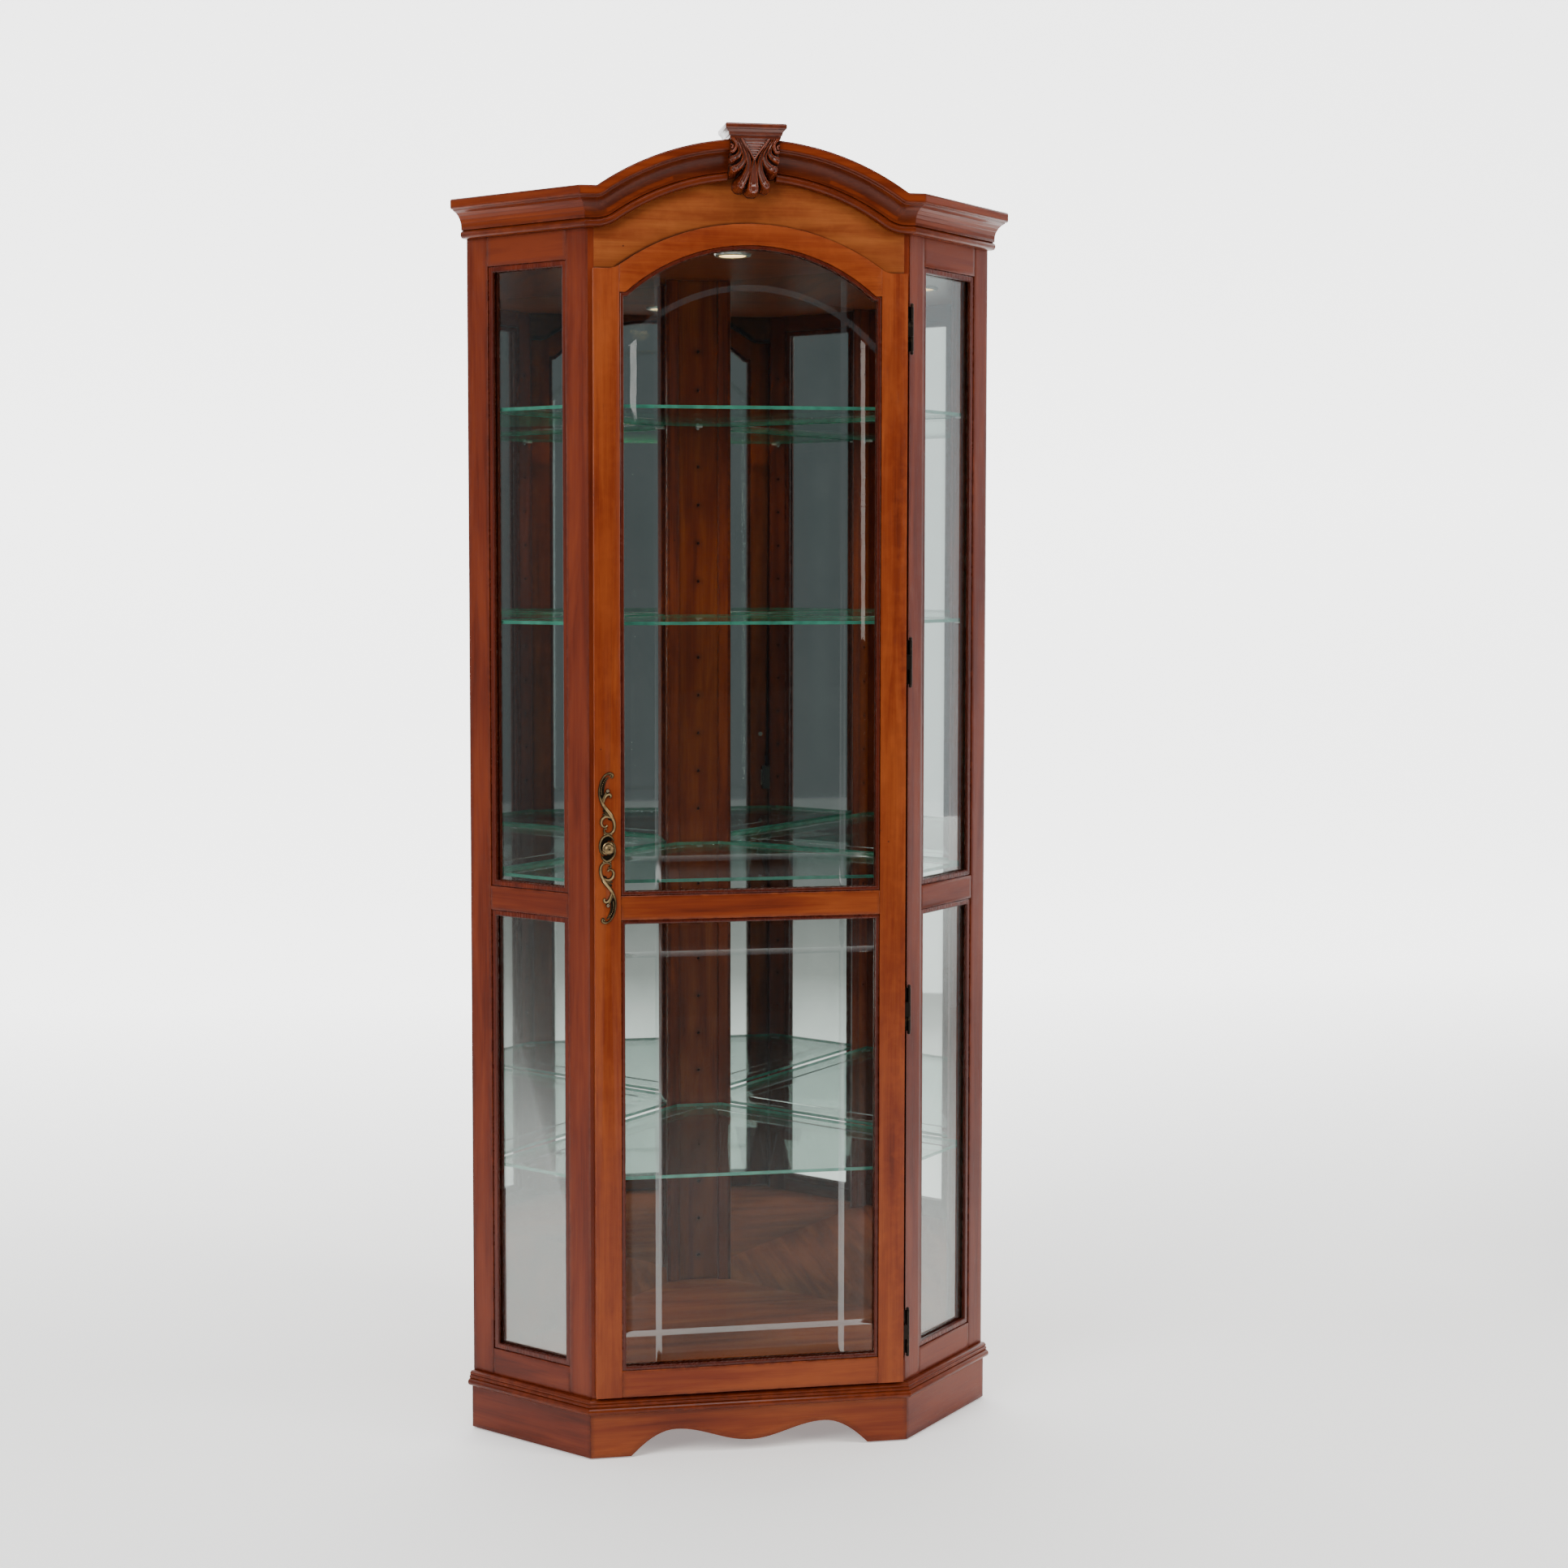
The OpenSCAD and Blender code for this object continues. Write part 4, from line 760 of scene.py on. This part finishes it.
def scatter(name, points, shape, mat):
    """One copy of a shape at every point, set out and joined by geometry nodes."""
    mesh = bpy.data.meshes.new(name + "_points")
    mesh.from_pydata([tuple(p) for p in points], [], [])
    holder = bpy.data.objects.new(name + "_points", mesh)
    bpy.context.scene.collection.objects.link(holder)
    group = bpy.data.node_groups.new(name, "GeometryNodeTree")
    group.interface.new_socket("Geometry", in_out="INPUT", socket_type="NodeSocketGeometry")
    group.interface.new_socket("Shape", in_out="INPUT", socket_type="NodeSocketObject")
    group.interface.new_socket("Finish", in_out="INPUT", socket_type="NodeSocketMaterial")
    group.interface.new_socket("Geometry", in_out="OUTPUT", socket_type="NodeSocketGeometry")
    add = group.nodes.new
    start, end = add("NodeGroupInput"), add("NodeGroupOutput")
    info, place = add("GeometryNodeObjectInfo"), add("GeometryNodeInstanceOnPoints")
    real, paint = add("GeometryNodeRealizeInstances"), add("GeometryNodeSetMaterial")
    for a, b in ((start.outputs["Geometry"], place.inputs["Points"]),
                 (start.outputs["Shape"], info.inputs["Object"]),
                 (info.outputs["Geometry"], place.inputs["Instance"]),
                 (place.outputs[0], real.inputs[0]), (real.outputs[0], paint.inputs[0]),
                 (start.outputs["Finish"], paint.inputs["Material"]),
                 (paint.outputs[0], end.inputs[0])):
        group.links.new(a, b)
    step = holder.modifiers.new(name, "NODES")
    step.node_group = group
    keys = {item.name: item.identifier for item in group.interface.items_tree
            if item.in_out == "INPUT"}
    step[keys["Shape"]] = shape
    step[keys["Finish"]] = mat
    bpy.context.view_layer.update()
    whole = holder.evaluated_get(bpy.context.evaluated_depsgraph_get())
    made = bpy.data.meshes.new_from_object(whole)
    bpy.data.objects.remove(holder)
    bpy.data.objects.remove(shape)
    piece = bpy.data.objects.new(name, made)
    bpy.context.scene.collection.objects.link(piece)
    return piece


def ball(name, radius):
    """A bead, seated flat at the back."""
    bm = bmesh.new()
    bmesh.ops.create_icosphere(bm, subdivisions=2, radius=radius)
    polish = bm.verts.layers.float.new("arris")
    for vert in bm.verts:
        vert[polish] = max(0.0, -vert.co.y / radius) ** 2 * 0.8
        vert.co.y = min(vert.co.y, 0.2 * MM)
    obj = new_piece(name, bm, BRASS)
    return obj


def build_pull():
    low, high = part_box("pull_backplate")
    mid = Vector(((low.x + high.x) / 2 - 0.6 * MM, high.y, (low.z + high.z) / 2))
    bm = bmesh.new()
    bm.verts.layers.float.new("arris")
    bm.verts.layers.float.new("cavity")
    for path in (STEM, CURL, RING, SWIRL, *FRONDS, *WEBS):
        add_strand(bm, path, mid)
        add_strand(bm, half_turn(path), mid)
    bmesh.ops.recalc_face_normals(bm, faces=bm.faces)
    plate = new_piece("pull_scrolls", bm, BRASS)
    row = smooth_path(BEAD_ROW, 2)
    spots = []
    for sign in (1, -1):
        spots += [(mid.x + sign * x * MM, mid.y - 0.9 * MM, mid.z + sign * z * MM)
                  for x, z in row]
    beads = scatter("pull_beads", spots, ball("bead", 0.95 * MM), BRASS)
    spots = [(mid.x + s * x * MM, mid.y - 0.8 * MM, mid.z + s * z * MM)
             for s in (1, -1) for x, z, _ in STUDS]
    studs = scatter("pull_studs", spots, ball("stud", 1.7 * MM), BRASS)
    spots = [(mid.x + 0.6 * MM, mid.y - 0.6 * MM, mid.z + s * PULL_SCREW * MM) for s in (1, -1)]
    bosses = scatter("pull_bosses", spots, ball("boss", 3.0 * MM), BRASS)
    knob = merged("pull_knob")
    polish = knob.verts.layers.float.new("arris")
    far = min(v.co.y for v in knob.verts)
    for vert in knob.verts:
        vert[polish] = 0.62 - min(1.0, (vert.co.y - far) / (10 * MM)) * 0.6
    knob = new_piece("pull_knob_turned", knob, BRASS)
    for piece in (plate, beads, studs, bosses, knob):
        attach(piece, "door")
    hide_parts("pull_backplate")
    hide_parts("pull_knob")


# ---------------------------------------------------------------- glass
def clear_piece(node, body, top_mat, edge_mat):
    """A pane or shelf: clear faces, cut grooves that catch the light, tinted edges."""
    bm = merged(node)
    bmesh.ops.triangulate(bm, faces=[f for f in bm.faces if len(f.verts) > 4])
    broad = max(bm.faces, key=lambda f: f.calc_area()).normal.copy()
    for face in bm.faces:
        facing = abs(face.normal.dot(broad))
        face.material_index = 0 if facing > 0.9999 else (1 if facing > 0.5 else 2)
    piece = new_piece("glass_" + node, bm, top_mat, GROOVE, edge_mat)
    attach(piece, body)
    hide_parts(node)
    return piece


def build_glass():
    pane_edge = glass_edge("pane_edge", (0.10, 0.24, 0.19))
    for node in ("left_side_glass", "right_side_glass"):
        clear_piece(node, "cabinet", PANE, pane_edge)
    for node in ("door_upper_glass", "door_lower_glass"):
        clear_piece(node, "door", PANE, pane_edge)
    for i in range(1, 5):
        clear_piece(f"shelf_{i}", f"glass_shelf_{i}", SHELF_TOP, SHELF_EDGE)


# ---------------------------------------------------------------- metal and plastic
def finish_nodes():
    """CAD nodes whose shape is right keep it and get their finish here."""
    for mat, nodes in (
            (SILVER, ("left_mirror", "right_mirror")),
            (BRONZE, ("hinge_frame_leaves", "hinge_door_leaves", "hinge_pins",
                      "hinge_frame_screws", "hinge_door_screws")),
            (STEEL, ("pull_screws", "strike_plate", "floor_glides")),
            (LAMP_METAL, ("light_housing", "light_trim_ring")),
            (CLEAR_PLASTIC, ("shelf_clips",)),
            (DARK_PLASTIC, ("cord_grommet", "magnetic_catch")),
            (LENS, ("light_lens",)), (BULB, ("lamp_bulb",))):
        for node in nodes:
            mesh = frame["nodes"][node].data
            mesh.materials.clear()
            mesh.materials.append(mat)


# ---------------------------------------------------------------- stage
def build_stage():
    backdrop = Mat("studio_floor")
    depth = backdrop.node("ShaderNodeSeparateXYZ", {}, [backdrop.place()], out=1)
    reach = backdrop.node("ShaderNodeVectorMath", {"operation": "LENGTH"}, [backdrop.place()],
                          out="Value")
    # Painted light: the floor is lighter near the cabinet and at the back, darker out in front, as a painted
    # pool of light.
    near = (reach.above(3.4, 1.5) + depth.above(0.6, 2.4)).above(0, 1)
    backdrop.set("Base Color", backdrop.mix(near, (0.36, 0.35, 0.34), (0.90, 0.90, 0.89))).set("Roughness", 0.7)
    backdrop.set("Specular IOR Level", 0.2).set("Emission Strength", 1.0)
    # Painted glow: the floor emits a little light near the cabinet, rising to a strong glow on the backdrop
    # behind.
    painted_glow = backdrop.mix(near, (0.02, 0.02, 0.02), (0.32, 0.32, 0.32))
    backdrop.set("Emission Color", backdrop.mix(depth.above(0.2, 4.2), painted_glow, (3.0, 3.0, 3.0)))
    bm = bmesh.new()
    size, rise, bend, start = 9.0, 7.0, 1.6, 3.6
    rows = [(-size, 0.0), (start, 0.0)]
    rows += [(start + bend * math.sin(t), bend * (1 - math.cos(t)))
             for t in (math.radians(a) for a in range(10, 91, 10))]
    rows.append((start + bend, rise))
    loops = [[bm.verts.new((x, y, z)) for x in (-size, size)] for y, z in rows]
    for a, b in zip(loops, loops[1:]):
        bm.faces.new((a[0], a[1], b[1], b[0]))
    new_piece("floor", bm, backdrop.data)

    world = bpy.data.worlds.new("studio")
    bpy.context.scene.world = world
    world.use_nodes = True
    tree = world.node_tree
    spot = tree.nodes.new("ShaderNodeTexCoord")
    parts = tree.nodes.new("ShaderNodeSeparateXYZ")
    tree.links.new(spot.outputs["Generated"], parts.inputs[0])
    shade = tree.nodes.new("ShaderNodeMapRange")
    tree.links.new(parts.outputs[1], shade.inputs["Value"])
    for name, value in (("From Min", -0.10), ("From Max", 0.22), ("To Min", 0.13),
                        ("To Max", 0.95)):
        shade.inputs[name].default_value = value
    ground = tree.nodes["Background"]
    ground.inputs[0].default_value = (0.90, 0.95, 1.0, 1)
    tree.links.new(shade.outputs[0], ground.inputs[1])

    def lamp(name, kind, place, target, power, size, colour=(1, 1, 1)):
        data = bpy.data.lights.new(name, kind)
        data.energy = power
        data.color = colour
        if kind == "AREA":
            data.shape = "RECTANGLE"
            data.size, data.size_y = size
        else:
            data.shadow_soft_size = size
        obj = bpy.data.objects.new(name, data)
        bpy.context.scene.collection.objects.link(obj)
        obj.location = place
        aim = Vector(target) - Vector(place)
        obj.rotation_euler = aim.to_track_quat("-Z", "Y").to_euler()

    lamp("key", "AREA", (-2.9, -2.9, 3.0), (0, 0, 1.0), 150, (1.4, 2.2), (1.0, 0.97, 0.93))
    lamp("fill", "AREA", (2.9, -2.2, 2.0), (0, 0, 0.9), 74, (0.8, 2.4), (1.0, 0.93, 0.86))
    lamp("overhead", "AREA", (0.2, -1.6, 4.2), (0, 0.1, 0.6), 85, (2.4, 1.2))
    lamp("window", "AREA", (-2.6, -0.86, 1.15), (0.3, -0.1, 1.15), 5, (0.55, 2.1))
    glow_low, glow_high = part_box("light_lens")
    middle = (glow_low + glow_high) / 2
    spot = (middle.x, middle.y, glow_low.z - 0.012)
    lamp("cabinet_lamp", "SPOT", spot, (middle.x, middle.y, 0), 9, 0.02, (1.0, 0.74, 0.45))
    bpy.data.lights["cabinet_lamp"].spot_size = math.radians(125)
    bpy.data.lights["cabinet_lamp"].spot_blend = 0.8


def build_camera():
    """The viewer stands to the left of the middle, a little above half height."""
    data = bpy.data.cameras.new("viewpoint")
    data.sensor_width = 36.0
    data.lens = 55.484
    data.shift_x = 0.0329
    data.shift_y = -0.05
    camera = bpy.data.objects.new("viewpoint", data)
    bpy.context.scene.collection.objects.link(camera)
    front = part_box("plinth_front")[0].y
    camera.location = (-0.6194, front - 3.5168, 1.3378)
    camera.rotation_euler = (math.radians(86.589), 0, math.radians(-9.552))
    bpy.context.scene.camera = camera


build_camera()
build_woodwork()
build_shell()
build_pull()
build_glass()
finish_nodes()
build_stage()
bpy.context.view_layer.update()
